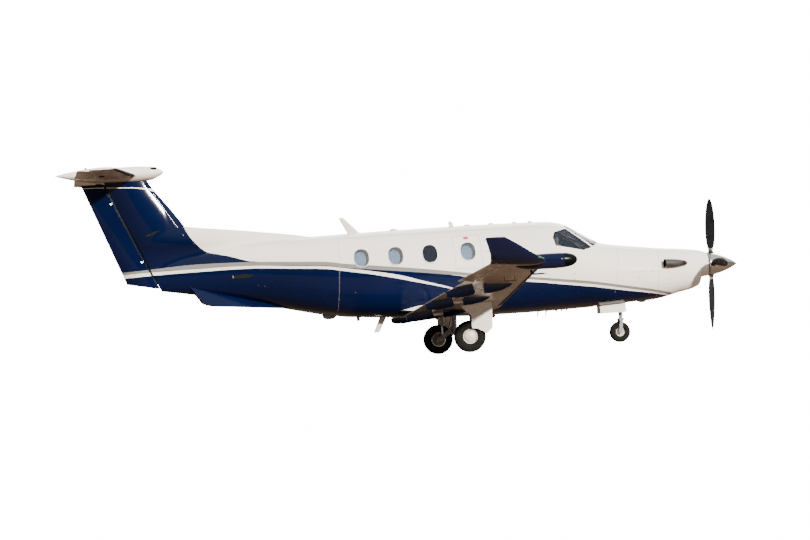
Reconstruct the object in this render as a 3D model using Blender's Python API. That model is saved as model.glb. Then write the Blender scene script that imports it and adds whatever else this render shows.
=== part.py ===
# Single-engined turboprop airliner with a low wing, a T-tail and a tricycle landing gear.
# +X points to the nose, +Y to port and +Z up. The origin is on the ground, midway between
# the spinner's tip and the tail bullet's end. All sizes are in metres, all angles in degrees.

import math

import bmesh
import bpy
from mathutils import Matrix, Vector

# Overall sizes
HALF_LENGTH = 7.20
HALF_SPAN = 8.14
GAP = 0.0003
CLEARANCE = 0.006
PORT = 1
STARBOARD = -1
SIDES = ((PORT, "left"), (STARBOARD, "right"))
# The middle of the length in the x that the shapes below are measured in
MIDDLE_X = 0.115

# Fuselage outlines in side view (x, z) and in plan (x, half width)
TOP_LINE = (
    (-5.70, 2.20), (-4.70, 2.37), (-3.93, 2.50), (-3.20, 2.60), (-2.35, 2.640), (-1.40, 2.667),
    (0.0, 2.686), (1.50, 2.692), (2.90, 2.678), (3.27, 2.662), (3.49, 2.618), (3.68, 2.512),
    (4.315, 2.155), (4.50, 2.112), (5.17, 2.018), (5.55, 1.966), (6.10, 1.914), (6.43, 1.872),
    (6.66, 1.800),
)
BOTTOM_LINE = (
    (-5.70, 1.820), (-5.37, 1.755), (-4.35, 1.581), (-3.73, 1.463), (-2.97, 1.297), (-2.20, 1.103),
    (-1.48, 0.955), (-1.00, 0.892), (-0.43, 0.858), (0.60, 0.800), (1.60, 0.765), (2.50, 0.760),
    (3.40, 0.773), (4.24, 0.795), (5.11, 0.838), (5.56, 0.882), (5.757, 0.925), (5.92, 0.972),
    (6.20, 1.025), (6.43, 1.105), (6.51, 1.285), (6.66, 1.300),
)
WIDTH_LINE = (
    (-5.70, 0.045), (-5.30, 0.075), (-4.90, 0.145), (-4.20, 0.285), (-3.40, 0.445),
    (-2.60, 0.600), (-1.80, 0.725), (-1.00, 0.805), (0.0, 0.840), (2.90, 0.840), (3.60, 0.800),
    (4.29, 0.705), (4.80, 0.635), (5.40, 0.555), (6.00, 0.455), (6.30, 0.385),
    (6.43, 0.330), (6.51, 0.275), (6.66, 0.248),
)
# How square the belly is: 2 is an ellipse
BELLY_LINE = ((-5.70, 2.0), (-2.50, 2.2), (-1.00, 2.9), (1.00, 3.6), (2.40, 3.0), (3.60, 2.4), (6.54, 2.0))
ROOF_POWER = 2.15
WIDEST_SHARE = 0.49
RING_POINTS = 32
FIREWALL_X = 5.40
CABIN_FRONT_X = 3.05
CABIN_REAR_X = -2.45
SKIN = 0.035

# Cockpit: the pocket under the glass, and the window outlines in side view
COCKPIT_FRONT_X = 4.36
COCKPIT_FLOOR_Z = 1.32
COCKPIT_ROOF_Z = 2.66
POST_HALF_WIDTH = 0.022
SIDE_WINDOW = ((3.53, 2.475), (3.27, 2.415), (3.215, 2.30), (3.25, 2.130), (3.86, 2.000), (4.04, 2.055))
WINDSHIELD = (
    (3.585, 2.490), (4.095, 2.080), (4.225, 2.150), (4.36, 2.36), (3.70, 2.70), (3.58, 2.60), (3.56, 2.53),
)
GLASS_DEPTH = 0.004
GLASS_THICKNESS = 0.012

# Cabin: the walls, the floor above the wing and the seats on it
CABIN_WALL = 0.07
CABIN_ROOM_X = (-2.30, 2.90)
CABIN_FLOOR_Z = 1.18
CARGO_PANEL = {"x": (-1.48, -0.90), "half_width": 0.40, "height": 0.010}
SEAT_PANEL = {"x": (-0.78, 1.98), "y": (0.205, 0.60), "thickness": 0.012}
SEAT_ROWS_X = (-0.62, 0.12, 0.86, 1.60)
SEAT_SIDE_Y = 0.40
SEAT_HALF_WIDTH = 0.19
SEAT_SINK = 0.004
# Side view of a cabin seat, from the back of its foot
SEAT_OUTLINE = (
    (0.06, 0.0), (0.38, 0.0), (0.40, 0.30), (0.48, 0.33), (0.47, 0.44), (0.14, 0.43), (0.03, 1.00),
    (-0.06, 1.02), (0.0, 0.40), (0.06, 0.30),
)

# Doors: x range, z range, how deep the entry behind them goes and how thick they are
AIRSTAIR = {"x": (2.17, 2.78), "z": (1.16, 2.42), "depth": 1.24, "thickness": 0.07, "hinge": "low"}
CARGO = {"x": (-2.28, -0.96), "z": (1.24, 2.46), "depth": 0.62, "thickness": 0.07, "hinge": "high"}
EXIT_HATCH = {"x": (1.08, 1.65), "z": (1.76, 2.45), "depth": 0.50, "thickness": 0.045, "hinge": None}
HINGE_OFFSET = 0.004

# Wing: leading and trailing edges, height and thickness along the span
WING_ROOT_Y = 0.06
DIHEDRAL_START_Y = 0.80
WING_TIP_Y = 7.72
LEADING_X = (2.00, -0.040)
TRAILING_X = (-0.10, 0.110)
WING_Z = 0.965
DIHEDRAL = 5.35
ROOT_THICKNESS = 0.155
TIP_THICKNESS = 0.125
CAMBER = 0.012
EDGE = 0.006
FLAP_SPAN = (0.92, 5.30)
AILERON_SPAN = (5.42, 7.56)
FLAP_SHARE = 0.70
AILERON_SHARE = 0.755
BAY_MARGIN = 0.045
FLAP_AXIS_DROP = 0.17
FLAP_AXIS_SHARE = 0.745
FLAP_REST = 15.0
FAIRING_YS = (1.22, 3.20, 5.12)
AILERON_HINGE_YS = (5.90, 7.10)
FAIRING_HALF_WIDTH = 0.055
FAIRING_DEPTH = 0.20
FAIRING_GAP = 0.13
FAIRING_LENGTH = 0.55

# Winglet sections: y, leading edge x, trailing edge x, z and how far the section leans
WINGLET = (
    (7.7203, 1.723, 0.661, 1.613, 0.0), (7.86, 1.62, 0.655, 1.660, 28.0),
    (7.98, 1.42, 0.640, 1.765, 52.0), (8.07, 1.18, 0.590, 1.920, 60.0), (8.135, 0.90, 0.535, 2.080, 62.0),
)
POD_Y = -7.46
POD_RADIUS = 0.145
POD_NOSE_X = 2.355
POD_TAIL_X = 1.08

# Fin, rudder and tailplane
FIN_LEADING = (
    (-1.80, 2.645), (-2.10, 2.705), (-2.52, 2.770), (-3.37, 2.890), (-4.20, 2.990), (-4.48, 3.030),
    (-4.76, 3.42), (-5.08, 3.83), (-5.19, 4.00), (-5.24, 4.12),
)
FIN_TOP_Z = 4.12
FIN_HALF_WIDTHS = (0.11, 0.062)
HINGE_BASE = (-5.175, 1.85)
HINGE_SLOPE = -0.4543
RUDDER_BASE = (-5.819, 1.93)
RUDDER_SLOPE = -0.3706
RUDDER_TOP_Z = 4.012
RUDDER_HINGE_ZS = (2.35, 3.60)
RUDDER_RADII = (0.056, 0.040)
TAIL_Z = 4.155
TAIL_HALF_SPAN = 2.60
TAIL_LEADING = (-5.40, -5.96)
TAIL_TRAILING = (-6.72, -6.69)
TAIL_THICKNESS = 0.105
ELEVATOR_SHARE = 0.62
ELEVATOR_SPAN = (0.175, 2.44)
ELEVATOR_HINGE_YS = (0.60, 1.95)
BULLET = (
    (-4.848, 4.200, 0.012), (-4.92, 4.200, 0.065), (-5.15, 4.190, 0.146), (-5.50, 4.190, 0.163),
    (-6.05, 4.192, 0.158), (-6.47, 4.205, 0.132), (-6.82, 4.225, 0.078), (-7.085, 4.240, 0.016),
)
STRAKE = ((-2.20, 1.16), (-4.48, 1.78), (-4.20, 1.39), (-4.02, 1.33))
BELLY_BEACON_X = 1.94
TAIL_BEACON = (-6.465, 0.0, 4.330)

# Engine, cowling and propeller
HUB = (6.745, 1.550)
# The engine's axis points a little down at the nose
THRUST_DROP_DEG = 2.5
SPINNER_RADIUS = 0.250
SPINNER_BACK_X = 6.676
SHAFT_RADIUS = 0.06
BLADE_COUNT = 4
BLADE_SECTIONS = (
    (0.12, 0.070, 0.070, 58.0), (0.28, 0.085, 0.062, 54.0), (0.42, 0.160, 0.036, 48.0),
    (0.60, 0.205, 0.024, 42.0), (0.85, 0.222, 0.017, 36.0), (1.11, 0.195, 0.012, 31.0),
    (1.30, 0.135, 0.008, 28.0), (1.40, 0.045, 0.006, 27.0),
)
COWL_FRONT_X = 6.64
COWL_SEAM_Z = 1.38
COWL_WALL = 0.025
COWL_BULKHEAD_X = 6.34
ENGINE_X = (4.85, 6.40)
ENGINE_RADIUS = 0.235
ENGINE_ROOM = 0.010
INTAKE_Z = 1.195
INTAKE_RADII = (0.155, 0.055)
# Exhaust stub: x, y, z and radius along its bend, from the engine to the outlet
EXHAUST_PATH = (
    (6.15, 0.245, 1.590, 0.055), (6.10, 0.350, 1.590, 0.062), (6.00, 0.450, 1.593, 0.074),
    (5.87, 0.520, 1.600, 0.083), (5.74, 0.560, 1.608, 0.087), (5.60, 0.585, 1.612, 0.088),
)
EXHAUST_ROOM_END = (5.30, 0.640, 1.615, 0.100)
EXHAUST_WALL = 0.012
EXHAUST_SQUASH = 0.95
SCOOP_CENTRE = (5.858, 0.545, 1.557)
SCOOP_RADII = (0.326, 0.080, 0.147)

# Landing gear
MAIN_X = 1.05
MAIN_Y = 2.265
MAIN_TYRE_RADIUS = 0.326
MAIN_TYRE_WIDTH = 0.215
MAIN_RIM_RADIUS = 0.150
MAIN_PIVOT = (1.39, 0.56)
MAIN_DOOR = (
    (1.52, 1.02), (0.88, 0.955), (0.96, 0.856), (1.085, 0.745), (1.08, 0.491), (1.197, 0.474),
    (1.299, 0.422), (1.381, 0.360), (1.51, 0.475),
)
MAIN_DOOR_Y = 2.405
DOOR_ARM_ZS = (0.64, 0.84)
SHOCK_STRUT = ((1.13, 0.410), (1.12, 1.02))
SHOCK_STRUT_RADII = (0.020, 0.034)
LEG_BRACE_Z = 0.86
LEG_Y = 2.04
LEG_FOOT_Z = 0.42
LEG_RADIUS = 0.045
LEG_BRACE_RADIUS = 0.022
LINK_SINK = 0.012
LINK_THICKNESS = 0.045
AXLE_RADIUS = 0.028
NOSE_X = 4.65
NOSE_TYRE_RADIUS = 0.2225
NOSE_TYRE_WIDTH = 0.155
NOSE_RIM_RADIUS = 0.095
NOSE_LEG_X = 4.69
NOSE_LEG_RADIUS = 0.042
NOSE_STEER_Z = 0.62
NOSE_WELL = {"x": (4.10, 5.10), "half_width": 0.16, "z": 1.16}
NOSE_DOOR_LENGTH = 0.56

# Hinges: half width of a lug, its pin, and where a door's knuckles sit along its edge
LUG_HALF_WIDTH = 0.010
PIN_RADIUS = 0.008
PIN_END = 0.012
PIN_SIDES = 10
KNUCKLE_RADIUS = 0.012
KNUCKLE_LENGTH = 0.045
KNUCKLE_SIDES = 12
KNUCKLE_SHARES = (0.30, 0.70)

# Base colour, roughness and metallic value of each finish
FINISHES = {
    "white paint": ((0.83, 0.82, 0.79), 0.25, 0.0),
    "navy paint": ((0.008, 0.022, 0.085), 0.22, 0.0),
    "grey metal": ((0.42, 0.43, 0.44), 0.40, 0.8),
    "polished metal": ((0.80, 0.80, 0.79), 0.08, 1.0),
    "scorched metal": ((0.22, 0.16, 0.12), 0.45, 0.9),
    "black blade": ((0.018, 0.018, 0.020), 0.35, 0.0),
    "black rubber": ((0.020, 0.020, 0.021), 0.80, 0.0),
    "cabin glass": ((0.10, 0.14, 0.18), 0.05, 0.0),
    "dark trim": ((0.035, 0.037, 0.042), 0.60, 0.0),
    "seat leather": ((0.34, 0.27, 0.20), 0.60, 0.0),
    "red lens": ((0.55, 0.02, 0.015), 0.15, 0.0),
}


def clear_scene():
    for item in list(bpy.data.objects):
        bpy.data.objects.remove(item, do_unlink=True)


def finish_material(finish):
    known = bpy.data.materials.get(finish)
    if known:
        return known
    colour, roughness, metallic = FINISHES[finish]
    material = bpy.data.materials.new(finish)
    material.use_nodes = True
    shader = material.node_tree.nodes["Principled BSDF"]
    shader.inputs["Base Color"].default_value = (*colour, 1.0)
    shader.inputs["Roughness"].default_value = roughness
    shader.inputs["Metallic"].default_value = metallic
    return material


def add_object(name, shape, finish=None, origin=(0.0, 0.0, 0.0)):
    # Without a finish the object is a cutter or a guide
    bmesh.ops.recalc_face_normals(shape, faces=shape.faces)
    bmesh.ops.translate(shape, verts=shape.verts, vec=-Vector(origin))
    mesh = bpy.data.meshes.new(name)
    shape.to_mesh(mesh)
    shape.free()
    item = bpy.data.objects.new(name, mesh)
    item.location = Vector(origin) - Vector((MIDDLE_X, 0.0, 0.0))
    bpy.context.scene.collection.objects.link(item)
    if finish is None:
        item.hide_render = True
        item.display_type = "WIRE"
        return item
    mesh.materials.append(finish_material(finish))
    mesh.shade_smooth()
    mesh.set_sharp_from_angle(angle=math.radians(35.0))
    return item


def combine(item, operation, *others, solver="EXACT"):
    for other in others:
        modifier = item.modifiers.new(operation.lower(), "BOOLEAN")
        modifier.operation = operation
        modifier.solver = solver
        modifier.object = other
    return item


def curve_at(points, x):
    # Smooth curve through the points that never overshoots them
    if x <= points[0][0]:
        return points[0][1]
    if x >= points[-1][0]:
        return points[-1][1]
    slopes = [(b[1] - a[1]) / (b[0] - a[0]) for a, b in zip(points, points[1:])]
    tangents = [slopes[0]]
    for before, after in zip(slopes, slopes[1:]):
        tangents.append(2.0 * before * after / (before + after) if before * after > 0.0 else 0.0)
    tangents.append(slopes[-1])
    index = max(i for i in range(len(slopes)) if points[i][0] <= x)
    (x0, z0), (x1, z1) = points[index], points[index + 1]
    step = x1 - x0
    t = (x - x0) / step
    rise = z1 - z0
    low, high = tangents[index] * step, tangents[index + 1] * step
    return z0 + low * t + (3.0 * rise - 2.0 * low - high) * t ** 2 + (low + high - 2.0 * rise) * t ** 3


def straight(ends, share):
    return ends[0] + (ends[1] - ends[0]) * share


def loft(rings):
    shape = bmesh.new()
    loops = [[shape.verts.new(point) for point in ring] for ring in rings]
    count = len(loops[0])
    for near, far in zip(loops, loops[1:]):
        for i in range(count):
            j = (i + 1) % count
            shape.faces.new((near[i], near[j], far[j], far[i]))
    # Bent four-sided faces are split the same way on a skin and on the seat that is cut to it
    bmesh.ops.triangulate(shape, faces=shape.faces[:], quad_method="FIXED")
    shape.faces.new(loops[0])
    shape.faces.new(loops[-1])
    return shape


def prism(outline, low, high):
    # An outline in side view, pushed from y = low to y = high
    return loft([[(x, y, z) for x, z in outline] for y in (low, high)])


def box(low, high):
    corners = ((low[0], low[2]), (high[0], low[2]), (high[0], high[2]), (low[0], high[2]))
    return prism(corners, low[1], high[1])


def circle(centre, radius, across, up, sides):
    turns = [2.0 * math.pi * i / sides for i in range(sides)]
    return [centre + across * (radius * math.cos(a)) + up * (radius * math.sin(a)) for a in turns]


def rod(start, end, radius, end_radius=None, sides=14):
    start, end = Vector(start), Vector(end)
    along = (end - start).normalized()
    across = along.orthogonal().normalized()
    up = along.cross(across)
    end_radius = end_radius or radius
    return loft([circle(start, radius, across, up, sides), circle(end, end_radius, across, up, sides)])


def turned(profile, centre, axis, sides=24):
    # A closed profile of (distance along the axis, radius), turned about the axis
    axis = Vector(axis).normalized()
    across = axis.orthogonal().normalized()
    up = axis.cross(across)
    centre = Vector(centre)
    shape = bmesh.new()
    loops = []
    for along, radius in profile:
        loops.append([shape.verts.new(p) for p in circle(centre + axis * along, radius, across, up, sides)])
    for near, far in zip(loops, loops[1:] + loops[:1]):
        for i in range(sides):
            j = (i + 1) % sides
            shape.faces.new((near[i], near[j], far[j], far[i]))
    return shape


def capped_turn(profile, centre, axis, sides=24):
    axis = Vector(axis).normalized()
    across = axis.orthogonal().normalized()
    up = axis.cross(across)
    centre = Vector(centre)
    return loft([circle(centre + axis * along, radius, across, up, sides) for along, radius in profile])


def turned_about(shape, point, axis, angle):
    turn = Matrix.Rotation(math.radians(angle), 4, axis)
    turn = Matrix.Translation(point) @ turn @ Matrix.Translation(-point)
    bmesh.ops.transform(shape, matrix=turn, verts=shape.verts)
    return shape


def add_hinge(fixed, moving, centre, axis, toward, reach, lug_radius, slot_radius):
    # A lug on the fixed piece reaches into a slot of the moving one and holds its pin
    axis = axis.normalized()
    toward = (toward - axis * toward.dot(axis)).normalized()
    up = axis.cross(toward)
    slot_half = LUG_HALF_WIDTH + CLEARANCE
    slot = rod(centre - axis * slot_half, centre + axis * slot_half, slot_radius, sides=16)
    pin_half = slot_half + PIN_END
    pin = rod(centre - axis * pin_half, centre + axis * pin_half, PIN_RADIUS, sides=PIN_SIDES)
    eye_radius = (PIN_RADIUS + GAP) / math.cos(math.pi / PIN_SIDES)
    eye = rod(centre - axis * pin_half, centre + axis * pin_half, eye_radius, sides=PIN_SIDES)
    turns = [math.radians(90.0 + 30.0 * i) for i in range(7)]
    outline = [toward * (lug_radius * math.cos(a)) + up * (lug_radius * math.sin(a)) for a in turns]
    outline += [toward * reach - up * lug_radius, toward * reach + up * lug_radius]
    rings = []
    for offset in (-LUG_HALF_WIDTH, LUG_HALF_WIDTH):
        rings.append([centre + point + axis * offset for point in outline])
    lug = combine(add_object("lug", loft(rings)), "DIFFERENCE", add_object("lug_eye", eye))
    combine(moving, "DIFFERENCE", add_object("lug_slot", slot))
    combine(moving, "UNION", add_object("hinge_pin", pin))
    combine(fixed, "UNION", lug)


def add_knuckles(fixed, moving, start, end):
    # Two hinges of three knuckles each: the outer two are the wall's, the middle one is the door's
    along = (end - start).normalized()
    room_radius = (KNUCKLE_RADIUS + GAP) / math.cos(math.pi / KNUCKLE_SIDES)
    for share in KNUCKLE_SHARES:
        for place in (-1, 0, 1):
            owner, other = (moving, fixed) if place == 0 else (fixed, moving)
            middle = start.lerp(end, share) + along * (KNUCKLE_LENGTH * place)
            half = along * (KNUCKLE_LENGTH / 2.0)
            slack = along * GAP
            knuckle = rod(middle - half + slack, middle + half - slack, KNUCKLE_RADIUS, sides=KNUCKLE_SIDES)
            room = rod(middle - half - slack, middle + half + slack, room_radius, sides=KNUCKLE_SIDES)
            combine(owner, "UNION", add_object("knuckle", knuckle), solver="MANIFOLD")
            combine(other, "DIFFERENCE", add_object("knuckle_room", room), solver="MANIFOLD")


# Fuselage

def hull_ring(x, inset=0.0):
    top = curve_at(TOP_LINE, x) - inset
    bottom = curve_at(BOTTOM_LINE, x) + inset
    width = max(curve_at(WIDTH_LINE, x) - inset, 0.01)
    belly = curve_at(BELLY_LINE, x)
    middle = bottom + WIDEST_SHARE * (top - bottom)
    ring = []
    for i in range(RING_POINTS):
        angle = 2.0 * math.pi * i / RING_POINTS
        side, rise = math.cos(angle), math.sin(angle)
        power = 2.0 / (ROOF_POWER if rise >= 0.0 else belly)
        height = top - middle if rise >= 0.0 else middle - bottom
        y = width * math.copysign(abs(side) ** power, side)
        z = middle + height * math.copysign(abs(rise) ** power, rise)
        ring.append((x, y, z))
    return ring


def hull(stations, inset=0.0):
    return loft([hull_ring(x, inset) for x in stations])


def hinge_x(z):
    return HINGE_BASE[0] + HINGE_SLOPE * (z - HINGE_BASE[1])


def behind_hinge(margin):
    low, high = 1.2, 4.6
    outline = ((hinge_x(low) + margin, low), (hinge_x(high) + margin, high), (-8.0, high), (-8.0, low))
    return prism(outline, -0.6, 0.6)


NOSE_STATIONS = (5.40, 5.10, 4.80, 4.55, 4.38, 4.26, 4.10, 3.92, 3.75, 3.62, 3.48, 3.32, 3.20, 3.05)
CABIN_STATIONS = (3.05, 2.70, 2.20, 1.50, 0.80, 0.10, -0.60, -1.20, -1.80, -2.45)
TAIL_STATIONS = (-2.45, -3.00, -3.60, -4.20, -4.75, -5.20, -5.50, -5.70)


def build_nose_section():
    stations = (FIREWALL_X - GAP,) + NOSE_STATIONS[1:-1] + (CABIN_FRONT_X + GAP,)
    nose = add_object("nose_section", hull(stations), "white paint")
    room = add_object("cockpit_room", hull(NOSE_STATIONS[2:-1] + (2.9,), SKIN))
    limits = add_object(
        "cockpit_limits", box((2.8, -1.0, COCKPIT_FLOOR_Z), (COCKPIT_FRONT_X, 1.0, COCKPIT_ROOF_Z)))
    combine(room, "INTERSECT", limits)
    side_cut = add_object("side_window_cut", prism(SIDE_WINDOW, -1.2, 1.2))
    front_cuts = [
        add_object("windshield_cut", prism(WINDSHIELD, POST_HALF_WIDTH, 1.2)),
        add_object("windshield_cut", prism(WINDSHIELD, -1.2, -POST_HALF_WIDTH)),
    ]
    half = NOSE_WELL["half_width"]
    well_room = box((NOSE_WELL["x"][0], -half, 0.5), (NOSE_WELL["x"][1], half, NOSE_WELL["z"]))
    well = add_object("nose_well_cut", well_room)
    room_ends = [thrust_point(x) for x in (ENGINE_X[0] - GAP, 5.6)]
    engine_room = add_object("engine_room", rod(*room_ends, ENGINE_RADIUS + ENGINE_ROOM, sides=20))
    combine(nose, "DIFFERENCE", room, side_cut, *front_cuts, well, engine_room)


def build_glass():
    stations = (4.80, 4.55) + NOSE_STATIONS[4:]
    panes = (
        ("windshield_left", WINDSHIELD, PORT, POST_HALF_WIDTH),
        ("windshield_right", WINDSHIELD, STARBOARD, POST_HALF_WIDTH),
        ("side_window_left", SIDE_WINDOW, PORT, 0.2),
        ("side_window_right", SIDE_WINDOW, STARBOARD, 0.2),
    )
    inner = add_object("glass_inside", hull(stations, GLASS_DEPTH + GLASS_THICKNESS))
    for name, outline, side, start in panes:
        centre_x = sum(x for x, _ in outline) / len(outline)
        centre_z = sum(z for _, z in outline) / len(outline)
        shrink = 1.0 - 4.0 * GAP / 0.4
        inside = []
        for x, z in outline:
            inside.append((centre_x + (x - centre_x) * shrink, centre_z + (z - centre_z) * shrink))
        near = start + GAP
        limit = add_object(name + "_limit", prism(inside, side * near, side * 1.1))
        pane = add_object(name, hull(stations, GLASS_DEPTH), "cabin glass")
        combine(pane, "DIFFERENCE", inner)
        combine(pane, "INTERSECT", limit)


def build_cockpit():
    floor = COCKPIT_FLOOR_Z + GAP
    seat = (
        (3.58, 1.40), (3.58, 1.62), (3.56, 1.72), (3.25, 1.70), (3.16, 2.22), (3.13, 2.40),
        (3.08, 2.40), (3.08, 1.60), (3.16, 1.40),
    )
    base = add_object("crew_seats", box((3.12, -0.50, floor), (3.60, 0.50, 1.42)), "seat leather")
    for y in (0.31, -0.31):
        combine(base, "UNION", add_object("seat", prism(seat, y - 0.20, y + 0.20)))
    panel = (
        (4.02, 1.62), (3.94, 1.96), (3.90, 2.035), (4.10, 2.050), (COCKPIT_FRONT_X - GAP, 2.06),
        (COCKPIT_FRONT_X - GAP, 1.62),
    )
    console = add_object("instrument_panel", prism(panel, -0.62, 0.62), "dark trim")
    combine(console, "INTERSECT", add_object("panel_limits", hull(NOSE_STATIONS[2:-1] + (2.9,), SKIN + GAP)))


def build_cabin():
    stations = (CABIN_FRONT_X - GAP,) + CABIN_STATIONS[1:-1] + (CABIN_REAR_X + GAP,)
    floor = add_object("cabin_floor", hull(stations), "white paint")
    shell = add_object("cabin_section", hull(stations), "white paint")
    below = []
    for rise in (0.0, GAP):
        room = box((-3.0, -1.0, 0.0), (3.5, 1.0, CABIN_FLOOR_Z + rise))
        below.append(add_object("below_floor", room))
    combine(floor, "INTERSECT", below[0])
    combine(shell, "DIFFERENCE", below[1])
    wing_cuts = [add_object("wing_cut", wing_shape(side, 2.0 * GAP)) for side in (PORT, STARBOARD)]
    combine(floor, "DIFFERENCE", *wing_cuts)
    half, top = CARGO_PANEL["half_width"], CABIN_FLOOR_Z + CARGO_PANEL["height"]
    panel = box((CARGO_PANEL["x"][0], -half, CABIN_FLOOR_Z - 0.05), (CARGO_PANEL["x"][1], half, top))
    combine(floor, "UNION", add_object("cargo_panel", panel))
    for name, door, walls in (("airstair_door", AIRSTAIR, (floor, shell)), ("cargo_door", CARGO, (shell,))):
        for wall in walls:
            combine(wall, "DIFFERENCE", add_object(name + "_entry", door_block(door, PORT, CLEARANCE)))
        start, end = door_hinge(door)
        leaf = build_leaf(name, door, PORT, start)
        add_knuckles(walls[0], leaf, start, end)
    # The exit hatch lies on a shallow bed in the wall
    bed = add_object("exit_hatch_bed", door_block(EXIT_HATCH, STARBOARD, CLEARANCE))
    hatch_floor = hull(CABIN_STATIONS, EXIT_HATCH["thickness"] + GAP)
    combine(bed, "DIFFERENCE", add_object("exit_hatch_floor", hatch_floor))
    room = add_object("cabin_room", hull(CABIN_STATIONS, CABIN_WALL))
    limits = box((CABIN_ROOM_X[0], -1.0, CABIN_FLOOR_Z - 0.02), (CABIN_ROOM_X[1], 1.0, 3.0))
    combine(room, "INTERSECT", add_object("cabin_room_limits", limits))
    combine(shell, "DIFFERENCE", bed, room)
    build_leaf("exit_hatch", EXIT_HATCH, STARBOARD, (0.0, 0.0, 0.0))
    build_cabin_seats()


def build_cabin_seats():
    # The seats stand on a panel at each side of the aisle
    low_z, high_z = CABIN_FLOOR_Z + GAP, CABIN_FLOOR_Z + GAP + SEAT_PANEL["thickness"]
    back_x, front_x = SEAT_PANEL["x"]
    for side, label in SIDES:
        near_y, far_y = sorted(side * y for y in SEAT_PANEL["y"])
        panel = box((back_x, near_y, low_z), (front_x, far_y, high_z))
        seats = add_object("cabin_seats_" + label, panel, "seat leather")
        low_y, high_y = side * SEAT_SIDE_Y - SEAT_HALF_WIDTH, side * SEAT_SIDE_Y + SEAT_HALF_WIDTH
        for x in SEAT_ROWS_X:
            outline = [(x + along, high_z - SEAT_SINK + up) for along, up in SEAT_OUTLINE]
            combine(seats, "UNION", add_object("cabin_seat", prism(outline, low_y, high_y)))


def build_leaf(name, door, side, origin):
    leaf = add_object(name, hull(CABIN_STATIONS), "white paint", origin)
    combine(leaf, "DIFFERENCE", add_object(name + "_inside", hull(CABIN_STATIONS, door["thickness"])))
    return combine(leaf, "INTERSECT", add_object(name + "_limit", door_block(door, side, 0.0)))


def door_block(door, side, margin):
    # The two ends stand square to the hinge, so a door swings clear of its frame
    start, end = door_hinge(door)
    slant = (end.y - start.y) / (end.x - start.x) if door["hinge"] else 0.0
    inner, outer = 0.84 - door["depth"], 1.2
    rear, front = door["x"][0] - margin, door["x"][1] + margin
    plan = []
    for x, y in ((rear, inner), (front, inner), (front, outer), (rear, outer)):
        plan.append((x - slant * (y - start.y), side * y))
    return loft([[(x, y, z) for x, y in plan] for z in (door["z"][0] - margin, door["z"][1] + margin)])


def door_hinge(door):
    # A straight line in the gap at the door's edge, just outside the skin all along
    z = door["z"][0] - CLEARANCE / 2.0 if door["hinge"] == "low" else door["z"][1] + CLEARANCE / 2.0
    xs = [straight(door["x"], i / 8.0) for i in range(9)]
    sides = [skin_side(x, z) for x in xs]
    chord = [straight((sides[0], sides[-1]), i / 8.0) for i in range(9)]
    offset = max(y - line for y, line in zip(sides, chord)) + HINGE_OFFSET
    return Vector((xs[0], chord[0] + offset, z)), Vector((xs[-1], chord[-1] + offset, z))


def skin_side(x, z):
    # Half width of the skin at a height, between the stations on either side of x
    widths = []
    stations = (max(s for s in CABIN_STATIONS if s <= x), min(s for s in CABIN_STATIONS if s > x))
    for station in stations:
        ring = hull_ring(station)
        for (_, y0, z0), (_, y1, z1) in zip(ring, ring[1:] + ring[:1]):
            if min(y0, y1) > -1e-6 and min(z0, z1) <= z < max(z0, z1):
                widths.append(y0 + (y1 - y0) * (z - z0) / (z1 - z0))
    return straight(widths, (x - stations[0]) / (stations[1] - stations[0]))


def build_tail_section():
    stations = (CABIN_REAR_X - GAP,) + TAIL_STATIONS[1:]
    tail = add_object("tail_section", hull(stations), "navy paint")
    combine(tail, "DIFFERENCE", add_object("tail_end_cut", behind_hinge(RUDDER_RADII[0] + CLEARANCE)))


# Wing

def wing_station(y):
    lead = LEADING_X[0] + LEADING_X[1] * (y - DIHEDRAL_START_Y)
    trail = TRAILING_X[0] + TRAILING_X[1] * (y - DIHEDRAL_START_Y)
    z = WING_Z + math.tan(math.radians(DIHEDRAL)) * max(y - DIHEDRAL_START_Y, 0.0)
    share = y / WING_TIP_Y
    return lead, lead - trail, z, straight((ROOT_THICKNESS, TIP_THICKNESS), share)


def foil_half(share, thickness):
    # Half thickness of a four-digit section, per unit of chord
    s = share
    shape = 0.2969 * math.sqrt(s) - 0.126 * s - 0.3516 * s * s + 0.2843 * s ** 3 - 0.1036 * s ** 4
    return 5.0 * thickness * shape


def camber_at(share):
    return CAMBER * 4.0 * share * (1.0 - share)


FOIL_SHARES = (0.0, 0.01, 0.04, 0.10, 0.20, 0.34, 0.50, 0.68, 0.86, 1.0)


def foil_points(lead, chord, z, thickness, shares=FOIL_SHARES, grow=0.0):
    # Upper side from the back to the nose, then the lower side to the back
    points = []
    for upper in (True, False):
        for share in (reversed(shares) if upper else shares[1:]):
            half = max(foil_half(share, thickness) * chord, EDGE / 2.0 if share > 0.5 else 0.0) + grow
            x = lead - share * chord + (grow if share < 0.005 else 0.0) - (grow if share > 0.999 else 0.0)
            points.append((x, z + camber_at(share) * chord + (half if upper else -half) * (share > 0.0)))
    return points


def wing_ring(side, y, grow=0.0):
    return [(x, side * y, z) for x, z in foil_points(*wing_station(y), grow=grow)]


def wing_shape(side, grow=0.0):
    ys = (WING_ROOT_Y - grow, DIHEDRAL_START_Y, 3.0, 5.36, WING_TIP_Y)
    return loft([wing_ring(side, y, grow) for y in ys])


def bay(side, span, share, margin):
    # The space behind the wing's rear wall that a flap or an aileron fills
    rings = []
    for y in (span[0] - margin, span[1] + margin):
        lead, chord, z, _ = wing_station(y)
        front = lead - share * chord
        corners = ((front, z - 0.4), (front, z + 0.4), (-2.0, z + 0.4), (-2.0, z - 0.4))
        rings.append([(x, side * y, h) for x, h in corners])
    return loft(rings)


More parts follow.
